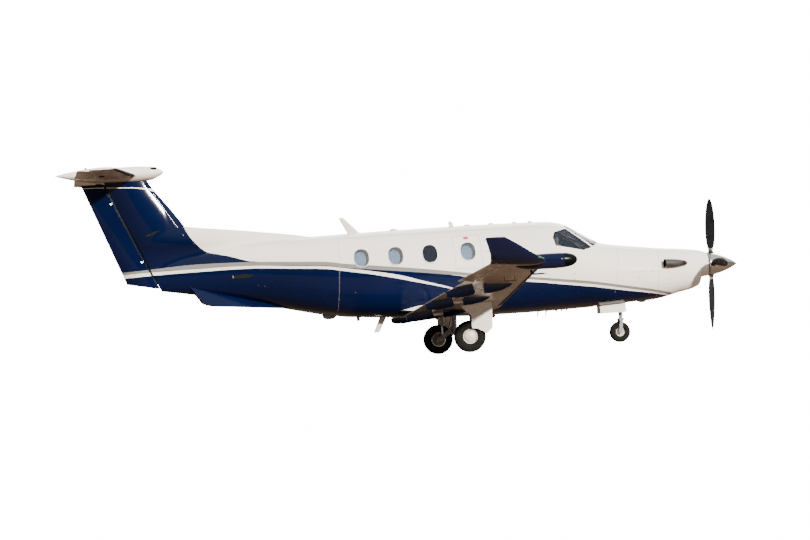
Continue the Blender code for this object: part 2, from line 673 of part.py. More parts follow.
def surface_ring(side, y, share, gap, arc=5):
    # Aft part of the wing section with a round nose
    lead, chord, z, thickness = wing_station(y)
    radius = foil_half(share, thickness) * chord - 0.002
    centre_x = lead - share * chord - radius - gap
    centre_z = z + camber_at(share) * chord
    points = []
    for i in range(arc + 1):
        angle = math.radians(90.0 - 180.0 * i / arc)
        points.append((centre_x + radius * math.cos(angle), side * y, centre_z + radius * math.sin(angle)))
    back = lead - chord
    back_z = z + camber_at(1.0) * chord
    points.append((back, side * y, back_z - EDGE / 2.0))
    points.append((back, side * y, back_z + EDGE / 2.0))
    return points


def flap_axis(side):
    ends = []
    for y in FLAP_SPAN:
        lead, chord, z, _ = wing_station(y)
        ends.append(Vector((lead - FLAP_AXIS_SHARE * chord, side * y, z - FLAP_AXIS_DROP)))
    return ends


def aileron_axis(side):
    ends = [aileron_nose(y)[0] for y in AILERON_SPAN]
    for end in ends:
        end.y *= side
    return ends


def fairing(side, y, front, back, nose_share, tail_share):
    # Slim canoe under the wing: half an ellipse deep, pointed where its share is small
    lead, chord, z, _ = wing_station(y)
    rings = []
    for i in range(5):
        share = i / 4.0
        x = straight((front, back), share)
        fullness = straight((nose_share, tail_share), share)
        round_off = math.sqrt(max(1.0 - (1.0 - fullness) ** 2, 0.01))
        width = FAIRING_HALF_WIDTH * round_off
        depth = FAIRING_DEPTH * round_off
        top = z - 0.02
        ring = [(x, side * (y - width), top), (x, side * (y + width), top)]
        for step in range(5):
            angle = math.pi * step / 4.0
            low = z - 0.06 - (depth - 0.02) * math.sin(angle) ** 0.8
            ring.append((x, side * (y + width * math.cos(angle)), low))
        rings.append(ring)
    return loft(rings)


def aileron_nose(y):
    lead, chord, z, thickness = wing_station(y)
    radius = foil_half(AILERON_SHARE, thickness) * chord - 0.002
    x = lead - AILERON_SHARE * chord - radius - CLEARANCE
    return Vector((x, y, z + camber_at(AILERON_SHARE) * chord)), radius


def build_wing(side, label):
    wing = add_object("wing_" + label, wing_shape(side), "white paint")
    combine(wing, "DIFFERENCE",
            add_object("flap_bay", bay(side, FLAP_SPAN, FLAP_SHARE, BAY_MARGIN)),
            add_object("aileron_bay", bay(side, AILERON_SPAN, AILERON_SHARE, CLEARANCE)))
    flap = build_surface(side, "flap_" + label, FLAP_SPAN, FLAP_SHARE, flap_axis(side), FLAP_REST)
    aileron = build_surface(side, "aileron_" + label, AILERON_SPAN, AILERON_SHARE, aileron_axis(side), 0.0)
    forward_way = Vector((1, 0, 0))
    low, high = aileron_axis(side)
    for y in AILERON_HINGE_YS:
        centre, radius = aileron_nose(y)
        centre.y *= side
        add_hinge(wing, aileron, centre, high - low, forward_way, radius + 0.04, radius * 0.6, radius + 0.012)
    low, high = flap_axis(side)
    for y in FAIRING_YS:
        lead, chord, _, _ = wing_station(y)
        end = lead - FLAP_SHARE * chord + FAIRING_GAP
        pivot = low.lerp(high, (y - FLAP_SPAN[0]) / (FLAP_SPAN[1] - FLAP_SPAN[0]))
        front = fairing(side, y, end + FAIRING_LENGTH, end, 0.05, 1.0)
        combine(wing, "UNION", add_object("fairing_front", front))
        aft = fairing(side, y, pivot.x, pivot.x - FAIRING_LENGTH, 1.0, 0.08)
        aft = turned_about(aft, low, side * (high - low), -FLAP_REST)
        combine(flap, "UNION", add_object("fairing_back", aft))
        add_hinge(wing, flap, pivot, high - low, forward_way, end - pivot.x + 0.05, 0.022, 0.034)


def build_surface(side, name, span, share, axis, rest):
    shape = loft([surface_ring(side, y, share, CLEARANCE) for y in span])
    if rest:
        shape = turned_about(shape, axis[0], side * (axis[1] - axis[0]), -rest)
    return add_object(name, shape, "white paint", axis[0])


def build_winglet(side, label):
    rings = []
    for y, lead, trail, z, lean in WINGLET:
        chord = lead - trail
        across = math.sin(math.radians(lean))
        up = math.cos(math.radians(lean))
        thickness = straight((TIP_THICKNESS, 0.09), (y - WING_TIP_Y) / (HALF_SPAN - WING_TIP_Y))
        ring = []
        for x, h in foil_points(lead, chord, 0.0, thickness):
            ring.append((x, side * (y - h * across), z + h * up))
        rings.append(ring)
    add_object("winglet_" + label, loft(rings), "navy paint")


def build_pod():
    length = POD_NOSE_X - POD_TAIL_X
    profile = (
        (0.0, 0.05), (0.10, 0.62), (0.25, 0.92), (0.45, 1.0), (0.72, 1.0), (0.84, 0.93), (0.93, 0.72),
        (0.98, 0.42), (1.0, 0.14),
    )
    shares = [(share * length, radius * POD_RADIUS) for share, radius in profile]
    _, _, z, _ = wing_station(-POD_Y)
    shape = capped_turn(shares, (POD_TAIL_X, POD_Y, z + 0.02), (1, 0, 0), 20)
    pod = add_object("radar_pod", shape, "navy paint")
    combine(pod, "DIFFERENCE", add_object("pod_seat", wing_shape(STARBOARD, 2.0 * GAP)))


# Tail

def build_fin():
    rings = []
    for x, z in FIN_LEADING:
        height = (z - FIN_LEADING[0][1]) / (FIN_TOP_Z - FIN_LEADING[0][1])
        half = straight(FIN_HALF_WIDTHS, height)
        back = hinge_x(z) - 0.1
        slope = min(0.35 * (x - hinge_x(z)), 0.5)
        side_points = ((x, 0.012), (x - slope * 0.35, half * 0.62), (x - slope, half), (back, half))
        ring = [(px, py, z) for px, py in side_points]
        ring += [(px, -py, z) for px, py in reversed(side_points)]
        rings.append(ring)
    root = [(x, y, 2.0) for x, y, _ in rings[0]]
    fin = add_object("fin", loft([root] + rings), "navy paint")
    combine(fin, "DIFFERENCE",
            add_object("fin_seat", hull(CABIN_STATIONS[-3:] + TAIL_STATIONS[1:], -GAP)),
            add_object("fin_end_cut", behind_hinge(RUDDER_RADII[0] + CLEARANCE)),
            add_object("fin_bullet_seat", bullet_shape(2.0 * GAP)),
            add_object("fin_tailplane_seat", tailplane_root(2.0 * GAP)))
    return fin


def rudder_radius(z):
    low = HINGE_BASE[1] - 0.085
    return straight(RUDDER_RADII, (z - low) / (RUDDER_TOP_Z - low))


def build_rudder(fin):
    rings = []
    low, high = HINGE_BASE[1] - 0.085, RUDDER_TOP_Z
    for z in (low, high):
        radius = rudder_radius(z)
        trail = RUDDER_BASE[0] + RUDDER_SLOPE * (z - RUDDER_BASE[1])
        turns = [math.radians(90.0 - 36.0 * i) for i in range(6)]
        ring = [(hinge_x(z) + radius * math.cos(a), radius * math.sin(a), z) for a in turns]
        lift = 0.12 if z == low else 0.0
        ring.append((trail, -EDGE / 2.0, z + lift))
        ring.append((trail, EDGE / 2.0, z + lift))
        rings.append(ring)
    rudder = add_object("rudder", loft(rings), "navy paint", (HINGE_BASE[0], 0.0, HINGE_BASE[1]))
    axis = Vector((HINGE_SLOPE, 0, 1))
    for z in RUDDER_HINGE_ZS:
        radius = rudder_radius(z)
        forward_way = Vector((1, 0, -HINGE_SLOPE))
        centre = Vector((hinge_x(z), 0, z))
        add_hinge(fin, rudder, centre, axis, forward_way, radius + 0.08, radius * 0.6, radius + 0.012)


def tail_points(lead, chord, thickness, grow=0.0, shares=(0.0, 0.02, 0.08, 0.20, 0.40, 0.62)):
    points = []
    for upper in (True, False):
        for share in (reversed(shares) if upper else shares[1:]):
            half = (foil_half(share, thickness) * chord + grow) * (share > 0.0)
            x = lead - share * chord + (grow if share == 0.0 else 0.0)
            x -= grow if share == shares[-1] else 0.0
            points.append((x, half if upper else -half))
    return points


def tail_section_at(y):
    share = abs(y) / TAIL_HALF_SPAN
    lead = straight(TAIL_LEADING, share)
    trail = straight(TAIL_TRAILING, share)
    return lead, lead - trail


def tail_ring(y, grow=0.0, scale=1.0):
    lead, chord = tail_section_at(y)
    return [(x, y, TAIL_Z + h * scale) for x, h in tail_points(lead, chord, TAIL_THICKNESS, grow)]


def tailplane_root(grow):
    return loft([tail_ring(y, grow) for y in (-0.4, 0.0, 0.4)])


def elevator_nose(y):
    lead, chord = tail_section_at(y)
    radius = foil_half(ELEVATOR_SHARE, TAIL_THICKNESS) * chord - 0.001
    return lead - ELEVATOR_SHARE * chord - radius - CLEARANCE, radius


def build_tailplane():
    ys = (-TAIL_HALF_SPAN, -TAIL_HALF_SPAN + 0.06, 0.0, TAIL_HALF_SPAN - 0.06, TAIL_HALF_SPAN)
    rings = [tail_ring(y, 0.0, 0.45 if abs(y) == TAIL_HALF_SPAN else 1.0) for y in ys]
    tailplane = add_object("tailplane", loft(rings), "white paint")
    for side, label in SIDES:
        rings = []
        for y in ELEVATOR_SPAN:
            nose_x, radius = elevator_nose(y)
            lead, chord = tail_section_at(y)
            turns = [math.radians(90.0 - 36.0 * i) for i in range(6)]
            ring = [(nose_x + radius * math.cos(a), side * y, TAIL_Z + radius * math.sin(a)) for a in turns]
            ring.append((lead - chord, side * y, TAIL_Z - EDGE / 2.0))
            ring.append((lead - chord, side * y, TAIL_Z + EDGE / 2.0))
            rings.append(ring)
        ends = [Vector((elevator_nose(y)[0], side * y, TAIL_Z)) for y in ELEVATOR_SPAN]
        elevator = add_object("elevator_" + label, loft(rings), "white paint", ends[0])
        for y in ELEVATOR_HINGE_YS:
            nose_x, radius = elevator_nose(y)
            centre = Vector((nose_x, side * y, TAIL_Z))
            add_hinge(tailplane, elevator, centre, ends[1] - ends[0], Vector((1, 0, 0)),
                      radius + 0.04, radius * 0.6, radius + 0.012)


def bullet_shape(grow):
    across, up = Vector((0, 1, 0)), Vector((0, 0, 1))
    return loft([circle(Vector((x, 0.0, z)), radius + grow, across, up, 16) for x, z, radius in BULLET])


def build_bullet():
    bullet = add_object("tail_bullet", bullet_shape(0.0), "white paint")
    combine(bullet, "DIFFERENCE", add_object("tailplane_seat", tailplane_root(2.0 * GAP)))
    lamp = ((-0.03, 0.034), (0.030, 0.034), (0.052, 0.024), (0.060, 0.006))
    beacon = add_object("tail_beacon", capped_turn(lamp, TAIL_BEACON, (0, 0, 1), 12), "red lens")
    combine(beacon, "DIFFERENCE", add_object("beacon_seat", bullet_shape(2.0 * GAP)))


def build_strake(side, label):
    # A thin plate that leans outwards under the tail
    rings = []
    for offset in (-0.012, 0.012):
        ring = []
        for x, z in STRAKE:
            root = z > 1.5 or x > -3.0
            y = 0.16 if root else 0.36
            ring.append((x, side * (y + offset), z))
        rings.append(ring)
    plate = add_object("strake_" + label, loft(rings), "navy paint")
    seat = hull(CABIN_STATIONS[-3:] + TAIL_STATIONS[1:], -GAP)
    combine(plate, "DIFFERENCE", add_object("strake_seat", seat))


# Engine and propeller

def thrust_point(x):
    return Vector((x, 0.0, HUB[1] + math.tan(math.radians(THRUST_DROP_DEG)) * (HUB[0] - x)))


def engine_shape(back, grow):
    return rod(thrust_point(back), thrust_point(ENGINE_X[1] + grow), ENGINE_RADIUS + grow, sides=20)


def build_engine():
    add_object("engine_block", engine_shape(ENGINE_X[0], 0.0), "grey metal")
    outer = (FIREWALL_X + GAP, 5.58, 5.78, 6.0, 6.19, 6.32, 6.43, 6.47, 6.51, COWL_FRONT_X)
    inside = add_object("cowling_inside", hull((5.3, 5.58, 5.78, 6.0, 6.19, COWL_BULKHEAD_X), COWL_WALL))
    bore_ends = [thrust_point(x) for x in (6.0, 6.8)]
    bore = add_object("cowling_bore", rod(*bore_ends, SHAFT_RADIUS + 0.02, sides=16))
    block_room = add_object("block_room", engine_shape(FIREWALL_X - 0.2, ENGINE_ROOM))
    rings = []
    for x in (6.24, 6.40, 6.60):
        ring = []
        for i in range(16):
            angle = 2.0 * math.pi * i / 16
            ring.append((x, INTAKE_RADII[0] * math.cos(angle), INTAKE_Z + INTAKE_RADII[1] * math.sin(angle)))
        rings.append(ring)
    intake = add_object("intake_cut", loft(rings))
    scoops = []
    for side in (PORT, STARBOARD):
        scoop = bmesh.new()
        bmesh.ops.create_uvsphere(scoop, u_segments=16, v_segments=8, radius=1.0)
        bmesh.ops.scale(scoop, vec=SCOOP_RADII, verts=scoop.verts)
        x, y, z = SCOOP_CENTRE
        bmesh.ops.translate(scoop, vec=(x, side * y, z), verts=scoop.verts)
        scoops.append(add_object("scoop_cut", scoop))
        exhaust_room = exhaust_shape(side, EXHAUST_PATH + (EXHAUST_ROOM_END,), 2.0 * GAP)
        scoops.append(add_object("exhaust_room", exhaust_room))
    halves = (("cowling_lower", 0.5, COWL_SEAM_Z), ("cowling_upper", COWL_SEAM_Z + GAP, 2.5))
    for name, low_z, high_z in halves:
        half = add_object(name, hull(outer), "white paint")
        limit = add_object(name + "_limit", box((5.0, -1.0, low_z), (7.0, 1.0, high_z)))
        combine(combine(half, "INTERSECT", limit), "DIFFERENCE", inside, block_room, bore, intake, *scoops)


def exhaust_shape(side, path, grow):
    points = [Vector((x, side * y, z)) for x, y, z, _ in path]
    rings = []
    for i, point in enumerate(points):
        along = (points[min(i + 1, len(points) - 1)] - points[max(i - 1, 0)]).normalized()
        across = along.cross(Vector((0, 0, 1))).normalized()
        up = across.cross(along) * EXHAUST_SQUASH
        rings.append(circle(point, path[i][3] + grow, across, up, 14))
    return loft(rings)


def build_exhaust(side, label):
    pipe = add_object("exhaust_" + label, exhaust_shape(side, EXHAUST_PATH, 0.0), "scorched metal")
    x, y, z, radius = EXHAUST_PATH[-1]
    bore_path = EXHAUST_PATH[-3:] + ((x - 0.05, y + 0.004, z, radius),)
    combine(pipe, "DIFFERENCE", add_object("exhaust_bore", exhaust_shape(side, bore_path, -EXHAUST_WALL)),
            add_object("engine_seat", engine_shape(ENGINE_X[0], 1.5 * GAP)))


def build_propeller():
    ahead = (thrust_point(1.0) - thrust_point(0.0)).normalized()
    upward = ahead.cross(Vector((0, 1, 0)))
    back = thrust_point(SPINNER_BACK_X)
    hub = thrust_point(HUB[0])
    nose = (thrust_point(HALF_LENGTH + MIDDLE_X) - back).length
    shaft_end = GAP - (thrust_point(ENGINE_X[1]) - back).length
    profile = [(shaft_end, SHAFT_RADIUS), (-0.004, SHAFT_RADIUS), (0.0, SPINNER_RADIUS)]
    for share in (0.22, 0.45, 0.66, 0.83, 0.95, 1.0):
        profile.append((nose * share, max(SPINNER_RADIUS * (1.0 - share ** 1.5) ** 0.85, 0.006)))
    add_object("spinner", capped_turn(profile, back, ahead, 28), "polished metal", back)
    for index in range(BLADE_COUNT):
        angle = math.radians(360.0 / BLADE_COUNT * index)
        out = Vector((0, 1, 0)) * math.sin(angle) + upward * math.cos(angle)
        round_way = upward * math.sin(angle) - Vector((0, 1, 0)) * math.cos(angle)
        rings = []
        for radius, chord, thickness, pitch in BLADE_SECTIONS:
            tilt = math.radians(pitch)
            along = round_way * math.cos(tilt) + ahead * math.sin(tilt)
            through = ahead * math.cos(tilt) - round_way * math.sin(tilt)
            centre = hub + out * radius
            rings.append([
                centre + along * (0.5 * chord * math.cos(a)) + through * (0.5 * thickness * math.sin(a))
                for a in (2.0 * math.pi * i / 12 for i in range(12))
            ])
        blade = add_object(f"blade_{index + 1}", loft(rings), "black blade", hub)
        seat = [(distance, radius + GAP * 1.5) for distance, radius in profile[2:]]
        combine(blade, "DIFFERENCE", add_object("blade_seat", capped_turn(seat, back, ahead, 28)))


# Landing gear

def tyre_profile(radius, width, rim):
    half = width / 2.0
    return (
        (-half * 0.55, rim), (-half, rim + 0.22 * (radius - rim)), (-half, rim + 0.60 * (radius - rim)),
        (-half * 0.80, radius - 0.10 * (radius - rim)), (-half * 0.42, radius), (half * 0.42, radius),
        (half * 0.80, radius - 0.10 * (radius - rim)), (half, rim + 0.60 * (radius - rim)),
        (half, rim + 0.22 * (radius - rim)), (half * 0.55, rim),
    )


def build_wheel(name, centre, radius, width, rim, axle, sides):
    tyre = turned(tyre_profile(radius, width, rim), centre, (0, 1, 0), sides)
    add_object(name + "_tyre", tyre, "black rubber", centre)
    half = width / 2.0
    edge = rim - GAP
    profile = (
        (-half * 0.70, axle), (-half * 0.70, edge * 0.45), (-half * 0.30, edge * 0.80), (-half * 0.55, edge),
        (half * 0.55, edge), (half * 0.30, edge * 0.80), (half * 0.70, edge * 0.45), (half * 0.70, axle),
    )
    add_object(name + "_hub", turned(profile, centre, (0, 1, 0), sides), "white paint", centre)


def leg_shape(side, grow):
    x, _ = MAIN_PIVOT
    _, _, wing_z, _ = wing_station(LEG_Y)
    return rod((x, side * LEG_Y, LEG_FOOT_Z), (x, side * LEG_Y, wing_z), LEG_RADIUS + grow, sides=16)


def strut_shape(side, grow):
    (low_x, low_z), (high_x, high_z) = SHOCK_STRUT
    low_radius, high_radius = SHOCK_STRUT_RADII
    return rod((low_x, side * LEG_Y, low_z - grow), (high_x, side * LEG_Y, high_z), low_radius + grow,
               high_radius + grow, 12)


def build_main_gear(side, label):
    centre = (MAIN_X, side * MAIN_Y, MAIN_TYRE_RADIUS)
    build_wheel("main_wheel_" + label, centre, MAIN_TYRE_RADIUS, MAIN_TYRE_WIDTH, MAIN_RIM_RADIUS,
                AXLE_RADIUS + 0.001, 32)
    pivot_x, pivot_z = MAIN_PIVOT
    leg = add_object("main_leg_" + label, leg_shape(side, 0.0), "grey metal")
    (low_x, low_z), (high_x, _) = SHOCK_STRUT
    brace_ends = [(x, side * LEG_Y, LEG_BRACE_Z) for x in (high_x, pivot_x)]
    brace = rod(*brace_ends, LEG_BRACE_RADIUS, sides=10)
    combine(leg, "UNION", add_object("shock_strut", strut_shape(side, 0.0)), add_object("leg_brace", brace))
    # The trailing link hangs on the leg's foot and carries the axle
    outline = (
        (pivot_x + 0.045, pivot_z + 0.01), (pivot_x + 0.03, pivot_z - 0.05),
        (MAIN_X + 0.04, MAIN_TYRE_RADIUS - 0.045), (MAIN_X - 0.04, MAIN_TYRE_RADIUS - 0.03),
        (MAIN_X - 0.045, MAIN_TYRE_RADIUS + 0.03), (MAIN_X + 0.02, MAIN_TYRE_RADIUS + 0.06),
        (pivot_x - 0.045, pivot_z + 0.035), (pivot_x + 0.02, pivot_z + 0.05),
    )
    link_in, link_out = LEG_Y + LEG_RADIUS - LINK_SINK, LEG_Y + LEG_RADIUS + LINK_THICKNESS
    link = add_object("trailing_link", prism(outline, side * link_in, side * link_out))
    axle_ends = [(MAIN_X, side * y, MAIN_TYRE_RADIUS) for y in (link_out - 0.02, MAIN_Y + 0.085)]
    lug_ends = [(low_x, side * y, low_z - 0.005) for y in (LEG_Y - 0.03, link_out - 0.02)]
    combine(leg, "UNION", link, add_object("axle", rod(*axle_ends, AXLE_RADIUS)),
            add_object("strut_lug", rod(*lug_ends, 0.019, sides=10)))
    combine(leg, "DIFFERENCE", add_object("leg_seat", wing_shape(side, 2.0 * GAP)))
    build_main_door(side, label)


def build_main_door(side, label):
    outer_y = MAIN_DOOR_Y + 0.016
    shape = prism(MAIN_DOOR, side * MAIN_DOOR_Y, side * outer_y)
    plate = add_object("main_door_" + label, shape, "white paint")
    x, _ = MAIN_PIVOT
    for z in DOOR_ARM_ZS:
        arm = rod((x + 0.02, side * LEG_Y, z), (x + 0.07, side * (MAIN_DOOR_Y + 0.008), z), 0.016, sides=10)
        combine(plate, "UNION", add_object("door_arm", arm))
    combine(plate, "DIFFERENCE", add_object("door_seat", wing_shape(side, 2.0 * GAP)),
            add_object("leg_room", leg_shape(side, 1.5 * GAP)))


def build_nose_gear():
    centre = (NOSE_X, 0.0, NOSE_TYRE_RADIUS)
    build_wheel("nose_wheel", centre, NOSE_TYRE_RADIUS, NOSE_TYRE_WIDTH, NOSE_RIM_RADIUS, 0.019, 28)
    steer = (NOSE_LEG_X, 0.0, NOSE_STEER_Z)
    leg_ends = [(NOSE_LEG_X, 0, z) for z in (NOSE_STEER_Z + GAP, NOSE_WELL["z"] - GAP)]
    add_object("nose_leg", rod(*leg_ends, NOSE_LEG_RADIUS + 0.01, sides=16), "grey metal")
    stem_ends = [(NOSE_LEG_X, 0, z) for z in (NOSE_STEER_Z - GAP, 0.505)]
    fork = add_object("nose_fork", rod(*stem_ends, NOSE_LEG_RADIUS, sides=16), "grey metal", steer)
    bridge = box((NOSE_LEG_X - 0.055, -0.128, 0.470), (NOSE_LEG_X + 0.045, 0.128, 0.512))
    combine(fork, "UNION", add_object("fork_bridge", bridge))
    for side in (PORT, STARBOARD):
        arm = (
            (NOSE_LEG_X + 0.03, 0.49), (NOSE_LEG_X - 0.04, 0.49), (NOSE_X - 0.035, NOSE_TYRE_RADIUS + 0.02),
            (NOSE_X - 0.025, NOSE_TYRE_RADIUS - 0.03), (NOSE_X + 0.03, NOSE_TYRE_RADIUS - 0.03),
        )
        combine(fork, "UNION", add_object("fork_arm", prism(arm, side * 0.096, side * 0.126)))
    axle = rod((NOSE_X, -0.11, NOSE_TYRE_RADIUS), (NOSE_X, 0.11, NOSE_TYRE_RADIUS), 0.018, sides=12)
    combine(fork, "UNION", add_object("nose_axle", axle))
    build_nose_doors()


def build_nose_doors():
    front = NOSE_WELL["x"][0] + 0.12
    for side, label in SIDES:
        root_y = NOSE_WELL["half_width"] - 0.012
        rings = []
        for x in (front, front + NOSE_DOOR_LENGTH):
            rings.append([(x, side * (root_y - 0.010), 0.93), (x, side * (root_y - GAP), 0.93),
                          (x, side * (root_y + 0.045), 0.640), (x, side * (root_y + 0.035), 0.640)])
        door = add_object("nose_door_" + label, loft(rings), "white paint")
        outside = hull((5.40, 5.10, 4.80, 4.55, 4.38, 4.26, 4.10, 3.92), -GAP)
        core = add_object("nose_hull_room", outside)
        well = box((NOSE_WELL["x"][0], -NOSE_WELL["half_width"] + 0.0006, 0.5),
                   (NOSE_WELL["x"][1], NOSE_WELL["half_width"] - 0.0006, NOSE_WELL["z"]))
        combine(core, "DIFFERENCE", add_object("nose_well_room", well))
        combine(door, "DIFFERENCE", core)


# Antennas and lamps

def build_antennas():
    top = ((-0.727, 2.60), (-1.13, 3.015), (-1.235, 3.015), (-1.024, 2.60))
    blade = add_object("dorsal_antenna", prism(top, -0.012, 0.012), "white paint")
    combine(blade, "DIFFERENCE", add_object("dorsal_seat", hull(CABIN_STATIONS, -GAP)))
    low = ((-0.30, 0.95), (-0.52, 0.55), (-0.64, 0.55), (-0.46, 0.95))
    blade = add_object("belly_antenna", prism(low, -0.012, 0.012), "white paint")
    combine(blade, "DIFFERENCE", add_object("belly_seat", hull(CABIN_STATIONS, -GAP)))
    lamp = ((0.0, 0.045), (0.05, 0.045), (0.085, 0.030), (0.10, 0.008))
    top = (BELLY_BEACON_X, 0.0, curve_at(BOTTOM_LINE, BELLY_BEACON_X) + 0.03)
    beacon = add_object("belly_beacon", capped_turn(lamp, top, (0, 0, -1), 12), "red lens")
    combine(beacon, "DIFFERENCE", add_object("beacon_seat", hull(CABIN_STATIONS, -GAP)))


def build():
    clear_scene()
    build_nose_section()
    build_glass()
    build_cockpit()
    build_cabin()
    build_tail_section()
    for side, label in SIDES:
        build_wing(side, label)
        build_winglet(side, label)
        build_strake(side, label)
        build_main_gear(side, label)
    build_pod()
    build_rudder(build_fin())
    build_tailplane()
    build_bullet()
    build_engine()
    for side, label in SIDES:
        build_exhaust(side, label)
    build_propeller()
    build_nose_gear()
    build_antennas()


build()
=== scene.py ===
from math import copysign, cos, pi, radians, sin, sqrt, tan

import bmesh
import bpy
from mathutils import Matrix, Vector
from mathutils.bvhtree import BVHTree
from mathutils.interpolate import poly_3d_calc


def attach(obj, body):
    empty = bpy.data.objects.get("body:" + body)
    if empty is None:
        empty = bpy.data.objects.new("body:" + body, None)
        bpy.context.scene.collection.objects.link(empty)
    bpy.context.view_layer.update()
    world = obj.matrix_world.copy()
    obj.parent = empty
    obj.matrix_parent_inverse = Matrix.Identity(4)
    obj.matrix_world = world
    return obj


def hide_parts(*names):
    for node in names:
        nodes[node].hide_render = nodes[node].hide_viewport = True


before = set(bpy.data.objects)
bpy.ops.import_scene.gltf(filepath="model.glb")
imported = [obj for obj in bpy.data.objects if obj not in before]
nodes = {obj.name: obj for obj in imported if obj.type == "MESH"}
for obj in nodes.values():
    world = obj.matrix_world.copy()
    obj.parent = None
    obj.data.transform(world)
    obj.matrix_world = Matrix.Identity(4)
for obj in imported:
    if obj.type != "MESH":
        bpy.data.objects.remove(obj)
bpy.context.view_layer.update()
scene = bpy.context.scene
port, starboard = 1, -1
# Shapes below are measured from a point this far behind the middle of the length
middleX = 0.115
sides = (("left", port), ("right", starboard))
print("frame loaded,", len(nodes), "nodes")

# Camera near the ground, a little behind the starboard wing, as the aircraft was photographed
view = {"place": (-7.995, -59.12, 0.05), "yaw": 7.7, "pitch": 1.71, "roll": 3.84, "focalPixels": 2816.5,
        "imageWidth": 810}


def addCamera():
    yaw, pitch, roll = (radians(view[key]) for key in ("yaw", "pitch", "roll"))
    ahead = Vector((sin(yaw) * cos(pitch), cos(yaw) * cos(pitch), sin(pitch)))
    level = Vector((cos(yaw), -sin(yaw), 0.0))
    above = level.cross(ahead)
    across = level * cos(roll) - above * sin(roll)
    upward = level * sin(roll) + above * cos(roll)
    data = bpy.data.cameras.new("camera")
    data.sensor_width = 36.0
    data.lens = view["focalPixels"] * data.sensor_width / view["imageWidth"]
    data.clip_end = 2000.0
    camera = bpy.data.objects.new("camera", data)
    scene.collection.objects.link(camera)
    turn = Matrix((across, upward, -ahead)).transposed().to_4x4()
    camera.matrix_world = Matrix.Translation(view["place"]) @ turn
    scene.camera = camera


addCamera()


# Colour and node helpers

def linear(code):
    channels = [int(code[i:i + 2], 16) / 255.0 for i in (1, 3, 5)]
    return [c / 12.92 if c <= 0.04045 else ((c + 0.055) / 1.055) ** 2.4 for c in channels] + [1.0]


def addNode(tree, kind, settings=None, inputs=None):
    node = tree.nodes.new(kind)
    for key, value in (settings or {}).items():
        setattr(node, key, value)
    for key, value in (inputs or {}).items():
        if isinstance(value, bpy.types.NodeSocket):
            tree.links.new(value, node.inputs[key])
        else:
            node.inputs[key].default_value = value
    return node


def calc(tree, operation, a, b=0.0):
    return addNode(tree, "ShaderNodeMath", {"operation": operation}, {0: a, 1: b}).outputs[0]


def spread(tree, value, low, high, first, last):
    # Moves a value's range low to high on to first to last
    return addNode(tree, "ShaderNodeMapRange", None,
                   {0: value, 1: low, 2: high, 3: first, 4: last}).outputs[0]


def blendColour(tree, share, a, b):
    node = addNode(tree, "ShaderNodeMix", {"data_type": "RGBA"}, {0: share, 6: a, 7: b})
    return node.outputs[2]


def grain(tree, place, sizeMm, detail=3.0, stretch=(1.0, 1.0, 1.0)):
    # Noise whose lumps are about sizeMm across
    moved = addNode(tree, "ShaderNodeMapping", None, {0: place, 3: stretch}).outputs[0]
    values = {"Vector": moved, "Scale": 1000.0 / sizeMm, "Detail": detail}
    return addNode(tree, "ShaderNodeTexNoise", None, values).outputs[0]


def newMaterial(name, **sockets):
    material = bpy.data.materials.new(name)
    material.use_nodes = True
    tree = material.node_tree
    shader = tree.nodes["Principled BSDF"]
    for key, value in sockets.items():
        shader.inputs[key.replace("_", " ")].default_value = value
    place = addNode(tree, "ShaderNodeTexCoord").outputs["Object"]
    return material, tree, shader, place


def addBump(tree, shader, height, depthMm, strength=1.0):
    values = {"Height": height, "Distance": depthMm / 1000.0, "Strength": strength}
    bump = addNode(tree, "ShaderNodeBump", None, values)
    tree.links.new(bump.outputs[0], shader.inputs["Normal"])


def finish(name, base, worn, patchMm, grainMm, rough, bumpMm, stretch=(1.0, 1.0, 1.0), **sockets):
    # Colour drifts between base and worn in patches, roughness and bump follow the grain
    material, tree, shader, place = newMaterial(name, **sockets)
    patches = grain(tree, place, patchMm, 4.0)
    fine = grain(tree, place, grainMm, 3.0, stretch)
    share = spread(tree, patches, 0.35, 0.7, 0.0, 1.0)
    tree.links.new(blendColour(tree, share, linear(base), linear(worn)), shader.inputs["Base Color"])
    tree.links.new(spread(tree, fine, 0.3, 0.7, *rough), shader.inputs["Roughness"])
    addBump(tree, shader, fine, bumpMm)
    return material


def paintFinishWithUndersideShade(tree, shader, place, colour, undersideShadeShare, grooves=None, level=0.05, steep=-0.8):
    # A dull warm brown on faces that look down is painted shade of the undersides, broken into streaks along
    # the airflow
    normal = addNode(tree, "ShaderNodeNewGeometry").outputs["Normal"]
    down = addNode(tree, "ShaderNodeSeparateXYZ", None, {0: normal}).outputs[2]
    facing = spread(tree, down, level, steep, 0.0, 1.0)
    streaks = grain(tree, place, 260.0, 4.0, (0.3, 1.0, 1.0))
    share = calc(tree, "MULTIPLY", facing, spread(tree, streaks, 0.25, 0.75, undersideShadeShare * 0.88, undersideShadeShare))
    # The warm brown #6f5c49 is the painted underside shade
    tree.links.new(blendColour(tree, share, colour, linear("#6f5c49")), shader.inputs["Base Color"])
    gloss = spread(tree, grain(tree, place, 400.0, 3.0), 0.3, 0.7, 0.07, 0.11)
    tree.links.new(calc(tree, "ADD", gloss, calc(tree, "MULTIPLY", share, 0.35)), shader.inputs["Roughness"])
    orange = grain(tree, place, 7.0, 2.0)
    height = calc(tree, "SUBTRACT", orange, calc(tree, "MULTIPLY", grooves, 12.0)) if grooves else orange
    addBump(tree, shader, height, 0.02, 0.4)


# Shader values that the paints, the bare metals and the matt black surfaces share
clearCoat = {"Coat_Weight": 0.04, "Coat_Roughness": 0.03, "IOR": 1.45, "Specular_IOR_Level": 0.24}
metal = {"Metallic": 1.0}
matt = {"Specular_IOR_Level": 0.12}


def glossPaint(name, base, shade, undersideShadeShare):
    material, tree, shader, place = newMaterial(name, **clearCoat)
    patches = spread(tree, grain(tree, place, 900.0, 3.0), 0.3, 0.7, 0.0, 1.0)
    paintFinishWithUndersideShade(tree, shader, place, blendColour(tree, patches, linear(base), linear(shade)), undersideShadeShare)
    return material


